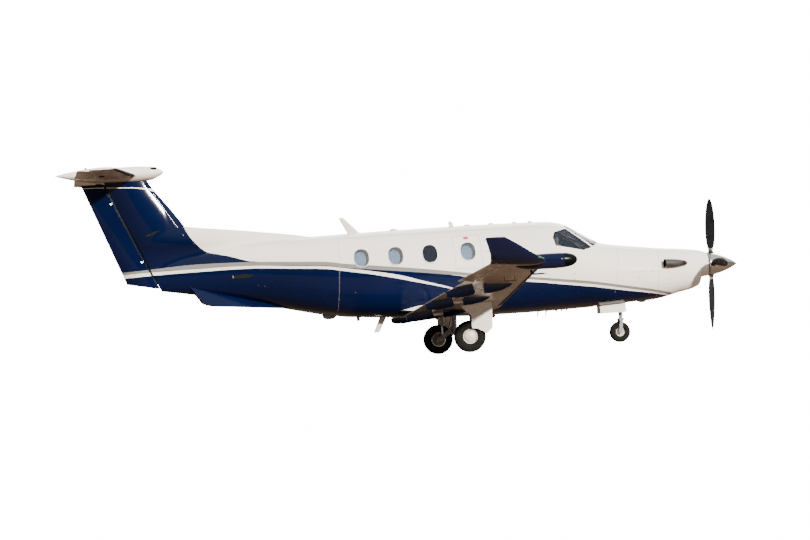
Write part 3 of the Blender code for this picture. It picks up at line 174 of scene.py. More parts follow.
# Two-coat polyurethane in white and navy with a grey band and a thin white line, x and z in metres
livery = {
    "white": "#f1ede6", "whiteShade": "#ebe6de", "navy": "#040e30", "navyShade": "#030b27",
    "grey": "#7d7b78", "greyShade": "#72706d", "seam": "#8f8b84",
    "greyTop": ((-6.2, 2.13), (-5.27, 2.168), (-4.81, 2.196), (-4.31, 2.212), (-3.71, 2.203), (-3.13, 2.183),
                (-2.37, 2.134), (-1.57, 2.076), (-1.27, 2.022), (-0.62, 1.938), (0.12, 1.845), (0.74, 1.755),
                (1.38, 1.658), (2.78, 1.481), (3.39, 1.402), (4.01, 1.318), (4.71, 1.194), (5.42, 1.063),
                (6.0, 0.93)),
    "greyWidth": ((-6.2, 0.06), (-5.27, 0.058), (-4.31, 0.09), (-2.37, 0.08), (0.12, 0.086), (1.24, 0.072),
                  (2.78, 0.056), (4.01, 0.062), (5.42, 0.05), (6.0, 0.04)),
    "lineTop": ((-6.2, 2.072), (-5.27, 2.107), (-4.32, 2.115), (-3.13, 2.101), (-2.38, 2.044),
                (-1.58, 1.981), (-1.28, 1.928), (-0.73, 1.833), (-0.17, 1.72), (0.38, 1.553), (0.9, 1.398),
                (1.6, 1.15)),
    "lineWidth": ((-6.2, 0.078), (-5.27, 0.071), (-4.32, 0.064), (-3.13, 0.056), (-1.58, 0.058),
                  (-0.73, 0.067), (-0.17, 0.08), (0.38, 0.05), (0.9, 0.032), (1.6, 0.015)),
    "frontLineWidth": ((0.95, 0.0), (2.3, 0.046), (2.78, 0.05), (4.01, 0.052), (5.42, 0.032), (6.1, 0.01)),
    "swoosh": ((-5.6, 4.6), (-4.95, 4.4), (-4.66, 3.45), (-4.534, 3.11), (-4.453, 2.908), (-4.35, 2.742),
               (-4.06, 2.466), (-3.84, 2.4), (-3.59, 2.33), (-3.24, 2.214), (-2.99, 2.15), (-2.8, 1.9)),
    "swooshEnds": (-5.6, -2.9),
    # Skin joints: x at the height 1.5, how x leans with height, lowest and highest z
    "joints": ((-1.392, 0.068, 0.8, 2.62), (4.555, 0.16, 1.05, 2.16), (5.478, 0.08, 0.9, 2.04)),
    # Level joints: z, first and last x
    "ledges": ((1.462, 4.56, 5.48), (1.175, 5.54, 5.8), (2.56, -1.38, 3.05)),
    # The white band that crosses the top of the fin, z over x
    "finBand": ((-6.3, 3.952), (-5.821, 3.926), (-5.405, 3.905), (-5.114, 3.86), (-4.9, 3.8)),
    "finBandWidth": ((-6.3, 0.01), (-5.821, 0.014), (-5.405, 0.026), (-5.114, 0.05), (-4.9, 0.07)),
}


def curveOfX(tree, x, points, low, high):
    # A smooth line of height over x, drawn through the points
    first, last = points[0][0], points[-1][0]
    node = addNode(tree, "ShaderNodeFloatCurve", None, {"Value": spread(tree, x, first, last, 0.0, 1.0)})
    curve = node.mapping.curves[0]
    ends = [((px - first) / (last - first), (pz - low) / (high - low)) for px, pz in points]
    curve.points[0].location, curve.points[1].location = ends[0], ends[-1]
    for spot in ends[1:-1]:
        curve.points.new(*spot)
    node.mapping.update()
    return spread(tree, node.outputs[0], 0.0, 1.0, low, high)


def edge(tree, value, limit, soft=0.0015):
    # 0 below the limit, 1 above it, with the slightly soft edge of a masked paint line
    return spread(tree, calc(tree, "SUBTRACT", value, limit), -soft, soft, 0.0, 1.0)


def below(tree, value, limit):
    return calc(tree, "SUBTRACT", 1.0, edge(tree, value, limit))


def band(tree, value, top, width):
    return calc(tree, "MULTIPLY", edge(tree, value, calc(tree, "SUBTRACT", top, width)),
                below(tree, value, top))


def seamLines(tree, x, z):
    # Dark hairlines where skin panels meet
    found = None
    for startX, lean, low, high in livery["joints"]:
        spine = calc(tree, "ADD", calc(tree, "MULTIPLY", calc(tree, "SUBTRACT", z, 1.5), lean), startX)
        near = calc(tree, "LESS_THAN", calc(tree, "ABSOLUTE", calc(tree, "SUBTRACT", x, spine)), 0.0028)
        inside = calc(tree, "MULTIPLY", calc(tree, "GREATER_THAN", z, low), calc(tree, "LESS_THAN", z, high))
        line = calc(tree, "MULTIPLY", near, inside)
        found = line if found is None else calc(tree, "MAXIMUM", found, line)
    for level, first, last in livery["ledges"]:
        near = calc(tree, "LESS_THAN", calc(tree, "ABSOLUTE", calc(tree, "SUBTRACT", z, level)), 0.0024)
        inside = calc(tree, "MULTIPLY", calc(tree, "GREATER_THAN", x, first),
                      calc(tree, "LESS_THAN", x, last))
        found = calc(tree, "MAXIMUM", found, calc(tree, "MULTIPLY", near, inside))
    return found


def twoTonePaint():
    material, tree, shader, place = newMaterial("two tone polyurethane paint", **clearCoat)
    parts = addNode(tree, "ShaderNodeSeparateXYZ", None, {0: place})
    x, z = calc(tree, "ADD", parts.outputs[0], middleX), parts.outputs[2]
    patches = spread(tree, grain(tree, place, 1200.0, 3.0), 0.3, 0.7, 0.0, 1.0)
    white = blendColour(tree, patches, linear(livery["white"]), linear(livery["whiteShade"]))
    navy = blendColour(tree, patches, linear(livery["navy"]), linear(livery["navyShade"]))
    grey = blendColour(tree, patches, linear(livery["grey"]), linear(livery["greyShade"]))
    greyTop = curveOfX(tree, x, livery["greyTop"], 0.8, 2.4)
    greyWidth = curveOfX(tree, x, livery["greyWidth"], 0.0, 0.2)
    above = edge(tree, z, greyTop)
    behind = calc(tree, "MULTIPLY", below(tree, z, curveOfX(tree, x, livery["swoosh"], 1.5, 5.0)),
                  below(tree, x, livery["swooshEnds"][1]))
    fin = calc(tree, "MAXIMUM", below(tree, x, livery["swooshEnds"][0]), behind)
    colour = blendColour(tree, calc(tree, "MULTIPLY", above, calc(tree, "SUBTRACT", 1.0, fin)), navy, white)
    colour = blendColour(tree, band(tree, z, greyTop, greyWidth), colour, grey)
    rear = band(tree, z, curveOfX(tree, x, livery["lineTop"], 1.0, 2.4),
                curveOfX(tree, x, livery["lineWidth"], 0.0, 0.2))
    rear = calc(tree, "MULTIPLY", rear, below(tree, x, livery["lineTop"][-1][0]))
    greyLow = calc(tree, "SUBTRACT", greyTop, greyWidth)
    front = band(tree, z, greyLow, curveOfX(tree, x, livery["frontLineWidth"], 0.0, 0.2))
    front = calc(tree, "MULTIPLY", front, edge(tree, x, livery["frontLineWidth"][0][0]))
    colour = blendColour(tree, calc(tree, "MAXIMUM", rear, front), colour, white)
    across = band(tree, z, curveOfX(tree, x, livery["finBand"], 3.0, 4.2),
                  curveOfX(tree, x, livery["finBandWidth"], 0.0, 0.2))
    colour = blendColour(tree, across, colour, white)
    joints = seamLines(tree, x, z)
    colour = blendColour(tree, calc(tree, "MULTIPLY", joints, 0.75), colour, linear(livery["seam"]))
    # Painted shade: warm brown on the faces that look nearly straight down
    paintFinishWithUndersideShade(tree, shader, place, colour, 0.3, joints, -0.85, -1.0)
    return material


finishes = {
    # Sprayed, clear-coated skin: a deep gloss, with fine seams and a brown painted shade on the faces that
    # look down
    "fuselage": twoTonePaint(),
    # Warm white gloss, painted brown on the undersides as shade
    "white": glossPaint("white polyurethane paint", "#f1ede6", "#e9e4db", 0.8),
    # Deep blue gloss, nearly black in shade
    "navy": glossPaint("navy polyurethane paint", "#040e30", "#030b27", 0.05),
    # The brighter blue of the small fairings under the wing
    "navyLow": glossPaint("navy fairing paint", "#0b2052", "#081a44", 0.0),
    # Rubbery black without a mirror shine
    "radome": finish("black rain-erosion paint", "#060607", "#0b0b0c", 90.0, 3.0, (0.22, 0.32), 0.02,
                     Specular_IOR_Level=0.1),
    # Brown-black, matt and faintly rippled
    "boot": finish("neoprene de-icing boot", "#2c231d", "#3d3027", 180.0, 9.0, (0.45, 0.62), 0.25, **matt),
    # Mirror metal with polishing marks that run round it
    "polished": finish("polished aluminium", "#d9d8d5", "#c9c7c3", 120.0, 2.5, (0.06, 0.14), 0.01,
                       (1.0, 6.0, 6.0), **metal),
    # Satin black, a little lighter where grit has worn it
    "blade": finish("black erosion-resistant blade paint", "#17171a", "#26262a", 160.0, 3.0, (0.34, 0.5),
                    0.03, **matt),
    # Pale satin metal
    "cuff": finish("clear anodised aluminium", "#b4b3b0", "#98968f", 60.0, 2.0, (0.22, 0.36), 0.02, **metal),
    # Steel browned and dulled by heat
    "exhaust": finish("heat-tinted stainless steel", "#6b5648", "#3d3128", 70.0, 4.0, (0.3, 0.52), 0.06,
                      **metal),
    # Flat black: soot inside the exhaust pipes, and painted shadow in the pipes' depth and the air inlets
    "sootAndShadow": finish("sooted steel and painted shadow", "#121110", "#1d1b19", 40.0, 5.0, (0.7, 0.9), 0.1, **matt),
    # Dull black with brown dust
    "tyre": finish("vulcanised tyre rubber", "#100f0f", "#1a1816", 90.0, 3.0, (0.68, 0.86), 0.12, **matt),
    # Cream enamel, softly shiny
    "rim": finish("enamelled magnesium wheel", "#e2ddcf", "#c9c2b1", 60.0, 4.0, (0.26, 0.42), 0.04),
    # Grey metal scored by the pads
    "disc": finish("machined brake steel", "#6e6a66", "#4b4743", 30.0, 1.5, (0.28, 0.46), 0.03, **metal),
    # Mid-grey satin over a cast surface
    "casting": finish("grey painted forging", "#8b8d8f", "#737476", 90.0, 5.0, (0.36, 0.52), 0.06),
    # Bright mirror on pistons and flanges
    "chrome": finish("hard chromed steel", "#d6d7d8", "#c4c5c7", 50.0, 2.0, (0.05, 0.12), 0.005, **metal),
    # Woven black surface
    "hose": finish("braided rubber hose", "#1c1c1d", "#2c2b2b", 12.0, 2.5, (0.55, 0.75), 0.15, **matt),
    # Soft black edge round the panes
    "trim": finish("black window rubber", "#1a1c22", "#262830", 50.0, 4.0, (0.45, 0.62), 0.05, **matt),
    # Blue-black behind a window's rim, darkened as painted shadow in the recess
    "shadowedReveal": finish("navy window reveal darkened as painted shadow", "#0f1524", "#0b101b", 60.0, 4.0, (0.4, 0.55), 0.04, **matt),
    # Pale blue cloth with level pleats
    "shade": finish("blue-grey pleated shade", "#b3cbe8", "#a3bddd", 120.0, 6.0, (0.7, 0.85), 0.2,
                    (1.0, 1.0, 6.0)),
    # Dark grey with a fine moulded grain
    "plastic": finish("moulded dark trim plastic", "#24262b", "#303238", 90.0, 1.5, (0.5, 0.66), 0.08,
                      **matt),
    # Warm tan hide with a pebbled grain
    "leather": finish("tan aniline leather", "#9b7d5d", "#856848", 70.0, 3.0, (0.42, 0.6), 0.18),
    # Cool grey hide with a pebbled grain
    "greyLeather": finish("grey aniline leather", "#6f7681", "#5c626d", 70.0, 3.0, (0.42, 0.6), 0.18),
    # Brushed grey metal of the small fasteners
    "steel": finish("brushed stainless steel", "#8f8e8b", "#757470", 50.0, 1.5, (0.25, 0.4), 0.02, **metal),
    # Black metal with a dim sheen
    "dark": finish("black anodised aluminium", "#17171a", "#232327", 50.0, 2.0, (0.35, 0.5), 0.02, **matt),
    # Grey-black skin on the hot end of a stub
    "sleeve": finish("dark heat-stained steel", "#2c2b2b", "#383635", 50.0, 3.0, (0.55, 0.72), 0.05),
    # A spot of orange on the tie-down hooks
    "orange": finish("orange nylon cap", "#c8641e", "#a8501a", 30.0, 3.0, (0.4, 0.55), 0.03),
    # A small red patch over the hatch
    "redMark": finish("red enamel", "#a3262a", "#861d22", 40.0, 4.0, (0.35, 0.5), 0.03),
    # Off-white, duller than the paint beside it
    "ivory": finish("ivory glass fibre", "#d9d6cd", "#c6c2b6", 80.0, 4.0, (0.38, 0.55), 0.04),
}


def glass(name, colour, rough, transmission):
    # Stretched acrylic: clear, faintly tinted, with fine polishing marks
    material, tree, shader, place = newMaterial(name, IOR=1.49, Transmission_Weight=transmission)
    marks = grain(tree, place, 25.0, 3.0)
    shader.inputs["Base Color"].default_value = linear(colour)
    tree.links.new(spread(tree, marks, 0.3, 0.7, rough, rough + 0.05), shader.inputs["Roughness"])
    addBump(tree, shader, grain(tree, place, 180.0, 2.0), 0.15, 0.3)
    return material


def tintedPane(name, colour, cover):
    # Coated glass: a dark film that lets part of the light through and keeps a full gloss
    material, tree, shader, place = newMaterial(name, Alpha=cover)
    marks = grain(tree, place, 40.0, 3.0)
    shader.inputs["Base Color"].default_value = linear(colour)
    tree.links.new(spread(tree, marks, 0.3, 0.7, 0.02, 0.05), shader.inputs["Roughness"])
    return material


# Dark panes that still show the seats behind them
finishes["cockpitGlass"] = tintedPane("tinted windshield glass", "#141d2d", 0.3)
# Nearly clear panes, and a dark tinted one where no shade is drawn, its tint a painted shadow of the cabin
# behind
finishes["cabinGlass"] = glass("stretched acrylic", "#dfe9f2", 0.01, 0.95)
finishes["shadowTintedGlass"] = glass("acrylic tinted dark as painted cabin shadow", "#33405c", 0.02, 0.9)
# Lamp lenses: deep red, deep green, and clear
finishes["red"] = glass("red lamp glass", "#b80a08", 0.05, 0.04)
finishes["green"] = glass("green lamp glass", "#0b5a38", 0.05, 0.1)
finishes["clear"] = glass("clear lamp glass", "#f4f6f8", 0.02, 0.85)
print("finishes made,", len(finishes))


# Number and mesh helpers

def steps(first, last, count):
    return [first + (last - first) * i / (count - 1) for i in range(count)]


def between(first, last, share):
    return first + (last - first) * share


def addPiece(name, shape, body, material, replaces=(), smooth=True, angle=38.0):
    # A finished bmesh becomes a piece of the scene; without a body it is only a guide
    if body:
        bmesh.ops.translate(shape, verts=shape.verts, vec=(-middleX, 0.0, 0.0))
    mesh = bpy.data.meshes.new(name)
    shape.to_mesh(mesh)
    shape.free()
    piece = bpy.data.objects.new(name, mesh)
    scene.collection.objects.link(piece)
    if material:
        mesh.materials.append(finishes[material])
    if smooth:
        mesh.shade_smooth()
        mesh.set_sharp_from_angle(angle=radians(angle))
    if body:
        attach(piece, body)
    if replaces:
        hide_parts(*replaces)
    return piece


def addFixed(*pieces):
    # Pieces of the airframe: name, shape, finish and slot of each
    for name, shape, material, slot in pieces:
        addPiece(name, shape, "airframe", material)


def loft(rings, capped=True, closed=True, into=None):
    shape = into or bmesh.new()
    loops = [[shape.verts.new(point) for point in ring] for ring in rings]
    count = len(loops[0])
    made = []
    for near, far in zip(loops, loops[1:]):
        for i in range(count if closed else count - 1):
            j = (i + 1) % count
            made.append(shape.faces.new((near[i], near[j], far[j], far[i])))
    if capped:
        made += [shape.faces.new(loops[0]), shape.faces.new(loops[-1])]
    if closed:
        bmesh.ops.recalc_face_normals(shape, faces=made)
    return shape


def turns(count):
    # Angles once round
    return [2.0 * pi * i / count for i in range(count)]


def ringAbout(centre, across, up, radius, count, squash=1.0):
    return [centre + across * (radius * cos(a)) + up * (radius * squash * sin(a))
            for a in turns(count)]


def axes(direction):
    direction = Vector(direction).normalized()
    across = direction.orthogonal().normalized()
    return direction, across, direction.cross(across)


def spun(profile, centre, direction, count=32, into=None, solid=True):
    # Profile of (distance along the axis, radius); a solid one closes on the axis at both ends
    direction, across, up = axes(direction)
    rings = [ringAbout(Vector(centre) + direction * along, across, up, max(radius, 0.0004),
                       count) for along, radius in profile]
    if not solid:
        rings.append(rings[0])
    return loft(rings, capped=solid, into=into)


def rod(start, end, radius, endRadius=None, count=12, into=None):
    start, end = Vector(start), Vector(end)
    length = (end - start).length
    return spun(((0.0, radius), (length, endRadius or radius)), start, end - start, count, into)


def tube(points, radius, count=10, into=None, closed=False):
    # Round section carried along a path, open or closed, without twisting
    points = [Vector(p) for p in points]
    total = len(points)
    radii = radius if isinstance(radius, (list, tuple)) else [radius] * total
    rings = []
    across = None
    for i, point in enumerate(points):
        after = (i + 1) % total if closed else min(i + 1, total - 1)
        before = i - 1 if closed else max(i - 1, 0)
        along = (points[after] - points[before]).normalized()
        across = along.orthogonal() if across is None else across - along * across.dot(along)
        across.normalize()
        rings.append(ringAbout(point, across, along.cross(across), radii[i], count))
    return loft(rings + rings[:1] if closed else rings, capped=not closed, into=into)


def slab(low, high, into=None, lip=0.0):
    # Box with its edges taken off by lip
    shape = into or bmesh.new()
    made = bmesh.ops.create_cube(shape, size=1.0)["verts"]
    low, high = Vector(low), Vector(high)
    for vert in made:
        vert.co = Vector([low[i] + (vert.co[i] + 0.5) * (high[i] - low[i]) for i in range(3)])
    if lip:
        edges = {e for v in made for e in v.link_edges}
        bmesh.ops.bevel(shape, geom=list(edges), offset=lip, segments=2, affect="EDGES", profile=0.6)
    return shape


def mergedCopy(names):
    # CAD nodes as one bmesh with its doubles merged
    shape = bmesh.new()
    for name in names:
        shape.from_mesh(nodes[name].data)
    bmesh.ops.remove_doubles(shape, verts=shape.verts, dist=1e-5)
    bmesh.ops.translate(shape, verts=shape.verts, vec=(middleX, 0.0, 0.0))
    for layer in list(shape.loops.layers.uv):
        shape.loops.layers.uv.remove(layer)
    return shape


def cutBy(shape, cutters, solver="EXACT"):
    # Boolean difference of a bmesh with several closed cutters
    target = addPiece("cutTarget", shape, None, None, smooth=False)
    made = [target]
    for cutter in cutters:
        other = addPiece("cutter", cutter, None, None, smooth=False)
        modifier = target.modifiers.new("cut", "BOOLEAN")
        modifier.operation, modifier.solver, modifier.object = "DIFFERENCE", solver, other
        made.append(other)
    result = bmesh.new()
    result.from_object(target, bpy.context.evaluated_depsgraph_get())
    for item in made:
        bpy.data.objects.remove(item, do_unlink=True)
    return result


class Guide:
    # A fine smooth surface that lends its normals to the flat-faced CAD skins
    def __init__(self, shape):
        bmesh.ops.triangulate(shape, faces=shape.faces[:])
        shape.normal_update()
        self.points = [v.co.copy() for v in shape.verts]
        self.normals = [v.normal.copy() for v in shape.verts]
        shape.verts.index_update()
        self.faces = [[v.index for v in f.verts] for f in shape.faces]
        self.tree = BVHTree.FromPolygons(self.points, self.faces)
        middle = sum(self.points, Vector()) / len(self.points)
        if sum((p - middle).dot(n) for p, n in zip(self.points, self.normals)) < 0.0:
            self.normals = [-n for n in self.normals]
        shape.free()

    def at(self, place, reach=0.03):
        spot, _, index, _ = self.tree.find_nearest(place, reach)
        if spot is None:
            return None
        corners = self.faces[index]
        weights = poly_3d_calc([self.points[i] for i in corners], spot)
        return sum((self.normals[i] * w for i, w in zip(corners, weights)), Vector()).normalized()


def smoothBy(piece, guides, agree=0.8):
    # Corner normals from the guide where a face lies on it, the face's own normal elsewhere
    mesh = piece.data
    mesh.shade_smooth()
    known = {}
    normals = []
    for polygon in mesh.polygons:
        for index in polygon.vertices:
            if index not in known:
                place = mesh.vertices[index].co + Vector((middleX, 0.0, 0.0))
                known[index] = next((n for n in (g.at(place) for g in guides) if n), None)
            guided = known[index]
            fits = guided is not None and guided.dot(polygon.normal) > agree
            normals.append(guided if fits else polygon.normal.copy())
    mesh.normals_split_custom_set(normals)


def dressed(name, source, body, material, guides, cutters=()):
    # A merged copy of CAD nodes with smooth shading stands for them
    source = (source,) if isinstance(source, str) else source
    shape = mergedCopy(source)
    if cutters:
        shape = cutBy(shape, cutters)
    piece = addPiece(name, shape, body, material, source, smooth=False)
    smoothBy(piece, guides)
    return piece


def keep(name, material):
    # A CAD node whose shape is right gets its real finish
    nodes[name].data.materials.clear()
    nodes[name].data.materials.append(finishes[material])


# Fuselage shape, the same curves as the CAD: (x, value)
fuselage = {
    "top": ((-5.7, 2.2), (-4.7, 2.37), (-3.93, 2.5), (-3.2, 2.6), (-2.35, 2.64), (-1.4, 2.667), (0.0, 2.686),
            (1.5, 2.692), (2.9, 2.678), (3.27, 2.662), (3.49, 2.618), (3.68, 2.512), (4.315, 2.155),
            (4.5, 2.112), (5.17, 2.018), (5.55, 1.966), (6.1, 1.914), (6.43, 1.872), (6.66, 1.8)),
    "bottom": ((-5.7, 1.82), (-5.37, 1.755), (-4.35, 1.581), (-3.73, 1.463), (-2.97, 1.297), (-2.2, 1.103),
               (-1.48, 0.955), (-1.0, 0.892), (-0.43, 0.858), (0.6, 0.8), (1.6, 0.765), (2.5, 0.76),
               (3.4, 0.773), (4.24, 0.795), (5.11, 0.838), (5.56, 0.882), (5.757, 0.925), (5.92, 0.972),
               (6.2, 1.025), (6.43, 1.105), (6.51, 1.285), (6.66, 1.3)),
    "width": ((-5.7, 0.045), (-5.3, 0.075), (-4.9, 0.145), (-4.2, 0.285), (-3.4, 0.445), (-2.6, 0.6),
              (-1.8, 0.725), (-1.0, 0.805), (0.0, 0.84), (2.9, 0.84), (3.6, 0.8), (4.29, 0.705),
              (4.8, 0.635), (5.4, 0.555), (6.0, 0.455), (6.3, 0.385), (6.43, 0.33), (6.51, 0.275),
              (6.66, 0.248)),
    "belly": ((-5.7, 2.0), (-2.5, 2.2), (-1.0, 2.9), (1.0, 3.6), (2.4, 3.0), (3.6, 2.4), (6.54, 2.0)),
    "roofPower": 2.15, "widestShare": 0.49,
}


def curveAt(points, x):
    # Smooth curve through the points that never overshoots them
    if x <= points[0][0]:
        return points[0][1]
    if x >= points[-1][0]:
        return points[-1][1]
    slopes = [(b[1] - a[1]) / (b[0] - a[0]) for a, b in zip(points, points[1:])]
    tangents = [slopes[0]]
    for before, after in zip(slopes, slopes[1:]):
        tangents.append(2.0 * before * after / (before + after) if before * after > 0.0 else 0.0)
    tangents.append(slopes[-1])
    index = max(i for i in range(len(slopes)) if points[i][0] <= x)
    (x0, z0), (x1, z1) = points[index], points[index + 1]
    step = x1 - x0
    t = (x - x0) / step
    rise = z1 - z0
    low, high = tangents[index] * step, tangents[index + 1] * step
    return z0 + low * t + (3.0 * rise - 2.0 * low - high) * t ** 2 + (low + high - 2.0 * rise) * t ** 3


def bulge(value, power):
    # A cosine or sine made squarer or rounder
    return copysign(abs(value) ** power, value)


def hullRing(x, count):
    top, bottom = curveAt(fuselage["top"], x), curveAt(fuselage["bottom"], x)
    width, belly = curveAt(fuselage["width"], x), curveAt(fuselage["belly"], x)
    middle = bottom + fuselage["widestShare"] * (top - bottom)
    ring = []
    for angle in turns(count):
        across, rise = cos(angle), sin(angle)
        power = 2.0 / (fuselage["roofPower"] if rise >= 0.0 else belly)
        height = top - middle if rise >= 0.0 else middle - bottom
        ring.append(Vector((x, width * bulge(across, power), middle + height * bulge(rise, power))))
    return ring


hullStations = steps(6.66, 6.32, 24) + steps(6.29, -5.7, 170)
hullGuide = Guide(loft([hullRing(x, 128) for x in hullStations]))
skinNodes = ("nose_section", "cabin_section", "cabin_floor", "tail_section", "cowling_lower",
             "cowling_upper", "airstair_door", "cargo_door", "exit_hatch")
skinShape = mergedCopy(skinNodes)
skinTree = BVHTree.FromBMesh(skinShape)
skinShape.free()


def onSkin(x, z, side):
    # Point and outward normal of the fuselage side at x and z
    spot, _, _, _ = skinTree.ray_cast(Vector((x, side * 2.0, z)), Vector((0, -side, 0)))
    if spot is None:
        return None, None
    return spot, hullGuide.at(spot, 0.05) or Vector((0, side, 0))


def underSkin(x, y, upward=False):
    # Point of the belly, or of the roof, at x and y
    sign = 1.0 if upward else -1.0
    return skinTree.ray_cast(Vector((x, y, 1.6 + 2.0 * sign)), Vector((0, 0, -sign)))[0]


def patch(places, depths, into):
    # A thin plate on the skin: the outline at several depths along its normals
    loft([[spot + normal * depth for spot, normal in places] for depth in depths], into=into)


# Cabin windows: ovals through the wall with a reveal, a pane and a half-drawn shade behind most of them; the
# reveal and a plate behind each shade are dark as painted shadow
windows = {"z": 2.118, "width": 0.318, "height": 0.398, "round": 2.35, "points": 48,
           "starboard": ((-0.885, True), (-0.166, True), (0.557, False), (1.366, True)),
           "port": ((-0.166, True), (0.557, True), (1.366, False)),
           "rim": 0.009, "paneDepth": 0.014, "shadeDepth": 0.046, "shadeShift": (-0.03, -0.02),
           "wall": 0.09}


def oval(centre, normal, width, height, depth, count, power, shift=(0.0, 0.0)):
    # Ring of points round an upright oval on the skin, pushed in by depth
    along = Vector((1, 0, 0)) - normal * normal.x
    along.normalize()
    up = normal.cross(along)
    if up.z < 0.0:
        up = -up
    ring = []
    for angle in turns(count):
        u = bulge(cos(angle), 2.0 / power) * width / 2.0 + shift[0]
        v = bulge(sin(angle), 2.0 / power) * height / 2.0 + shift[1]
        ring.append(centre + along * u + up * v - normal * depth)
    return ring


def windowRing(x, side, grow, depth, shift=(0.0, 0.0)):
    spot, normal = onSkin(x, windows["z"], side)
    width, height = windows["width"] + grow, windows["height"] + grow
    return oval(spot, normal, width, height, depth, windows["points"], windows["round"], shift)


def addWindows():
    rims, reveals, panes, shadowTintedPanes, shades, backs = (bmesh.new() for _ in range(6))
    rim, wall, pane, shade = (windows[key] for key in ("rim", "wall", "paneDepth", "shadeDepth"))
    for side in (port, starboard):
        for x, covered in windows["starboard" if side == starboard else "port"]:
            def ringAt(grow, depth, shift=(0.0, 0.0)):
                return windowRing(x, side, grow, depth, shift)

            loft([ringAt(-0.006, -0.0012), ringAt(rim * 2.0, -0.0012), ringAt(rim * 2.0 + 0.004, 0.003),
                  ringAt(-0.006, 0.004), ringAt(-0.006, -0.0012)], capped=False, into=rims)
            # The reveal's dark finish is painted shadow in the window's recess
            loft([ringAt(-0.005, 0.0045), ringAt(-0.005, wall), ringAt(-0.03, wall), ringAt(-0.03, 0.03),
                  ringAt(-0.012, 0.01), ringAt(-0.005, 0.0045)], capped=False, into=reveals)
            # Without a shade the pane is tinted dark, painted shadow of the cabin behind it
            loft([ringAt(-0.016, pane), ringAt(-0.016, pane + 0.006)], into=panes if covered else shadowTintedPanes)
            if covered:
                # A dark plate behind the shade: painted shadow round it
                loft([ringAt(-0.032, shade + 0.012), ringAt(-0.032, shade + 0.016)], into=backs)
                loft([ringAt(-0.075, shade + depth, windows["shadeShift"]) for depth in (0.0, 0.005)],
                     into=shades)
            else:
                # The hem of a shade that is drawn up
                spot, _ = onSkin(x, windows["z"] - 0.012, side)
                hem = spot - Vector((0.0, side * 0.034, 0.0))
                rod(hem - Vector((0.125, 0, 0)), hem + Vector((0.125, 0, 0.01)), 0.0035, into=shades)
    addFixed(("window_rims", rims, "white", "grey_metal"),
             ("window_reveals", reveals, "shadowedReveal", "dark_trim"),
             ("window_panes", panes, "cabinGlass", "cabin_glass"),
             ("window_shadow_tinted_panes", shadowTintedPanes, "shadowTintedGlass", "cabin_glass"),
             ("window_shadow_backs", backs, "shadowedReveal", "dark_trim"),
             ("window_shades", shades, "shade", "seat_leather"))


def windowCutter(x, side):
    return loft([windowRing(x, side, 0.0, depth) for depth in (-0.03, windows["wall"] + 0.05)])


addWindows()
wallCutters = [windowCutter(x, starboard) for x, _ in windows["starboard"]]
wallCutters += [windowCutter(x, port) for x, _ in windows["port"]]
hatchCutter = windowCutter(1.366, starboard)
print("window pieces made")


def addFuselage():
    for name, source, body, slot, cutters in (
            ("nose_skin", "nose_section", "airframe", "white_paint", ()),
            ("cabin_skin", ("cabin_section", "cabin_floor"), "airframe", "white_paint", wallCutters),
            ("tail_skin", "tail_section", "airframe", "navy_paint", ()),
            ("cowling_lower_skin", "cowling_lower", "airframe", "white_paint", ()),
            ("cowling_upper_skin", "cowling_upper", "airframe", "white_paint", ()),
            ("airstair_skin", "airstair_door", "airstair_door", "white_paint", ()),
            ("cargo_door_skin", "cargo_door", "cargo_door", "white_paint", ()),
            ("hatch_skin", "exit_hatch", "airframe", "white_paint", [hatchCutter])):
        dressed(name, source, body, "fuselage", [hullGuide], cutters)


addFuselage()
print("fuselage skins made")

# Cockpit: the panes' rubber edges and the visors as (x, z) in side view
cockpit = {
    "sideWindow": ((3.53, 2.475), (3.27, 2.415), (3.215, 2.3), (3.25, 2.13), (3.86, 2.0), (4.04, 2.055)),
    "windshield": ((3.585, 2.49), (4.095, 2.08), (4.225, 2.15), (4.36, 2.36), (3.7, 2.7), (3.58, 2.6),
                   (3.56, 2.53)),
    "sealWidth": 0.011, "visor": ((3.36, 2.44), (3.7, 2.27)),
    # Seats as (x, y), screens and yokes by their y
    "seats": ((3.4, 0.31), (3.3, -0.31)), "seatLean": -5.0,
    "screens": (-0.4, -0.14, 0.14, 0.4), "yokes": (-0.31, 0.31),
}


def hullSide(x, z, side, inset=0.0):
    # Point on the smooth hull at x and z
    ring = hullRing(x, 96)
    best = None
    for a, b in zip(ring, ring[1:] + ring[:1]):
        if a.y > -1e-6 and b.y > -1e-6 and min(a.z, b.z) <= z <= max(a.z, b.z) and abs(a.z - b.z) > 1e-7:
            y = a.y + (b.y - a.y) * (z - a.z) / (b.z - a.z)
            best = y if best is None else max(best, y)
    if best is None:
        top = max(point.z for point in ring)
        return Vector((x, 0.0, min(z, top) - inset))
    return Vector((x, side * (best - inset), z))


def sealPath(outline, side):
    # The outline laid on the hull with extra points, so that it follows the curve
    path = []
    for (x0, z0), (x1, z1) in zip(outline, outline[1:] + outline[:1]):
        for i in range(10):
            path.append(hullSide(between(x0, x1, i / 10.0), between(z0, z1, i / 10.0), side, 0.0015))
    return path


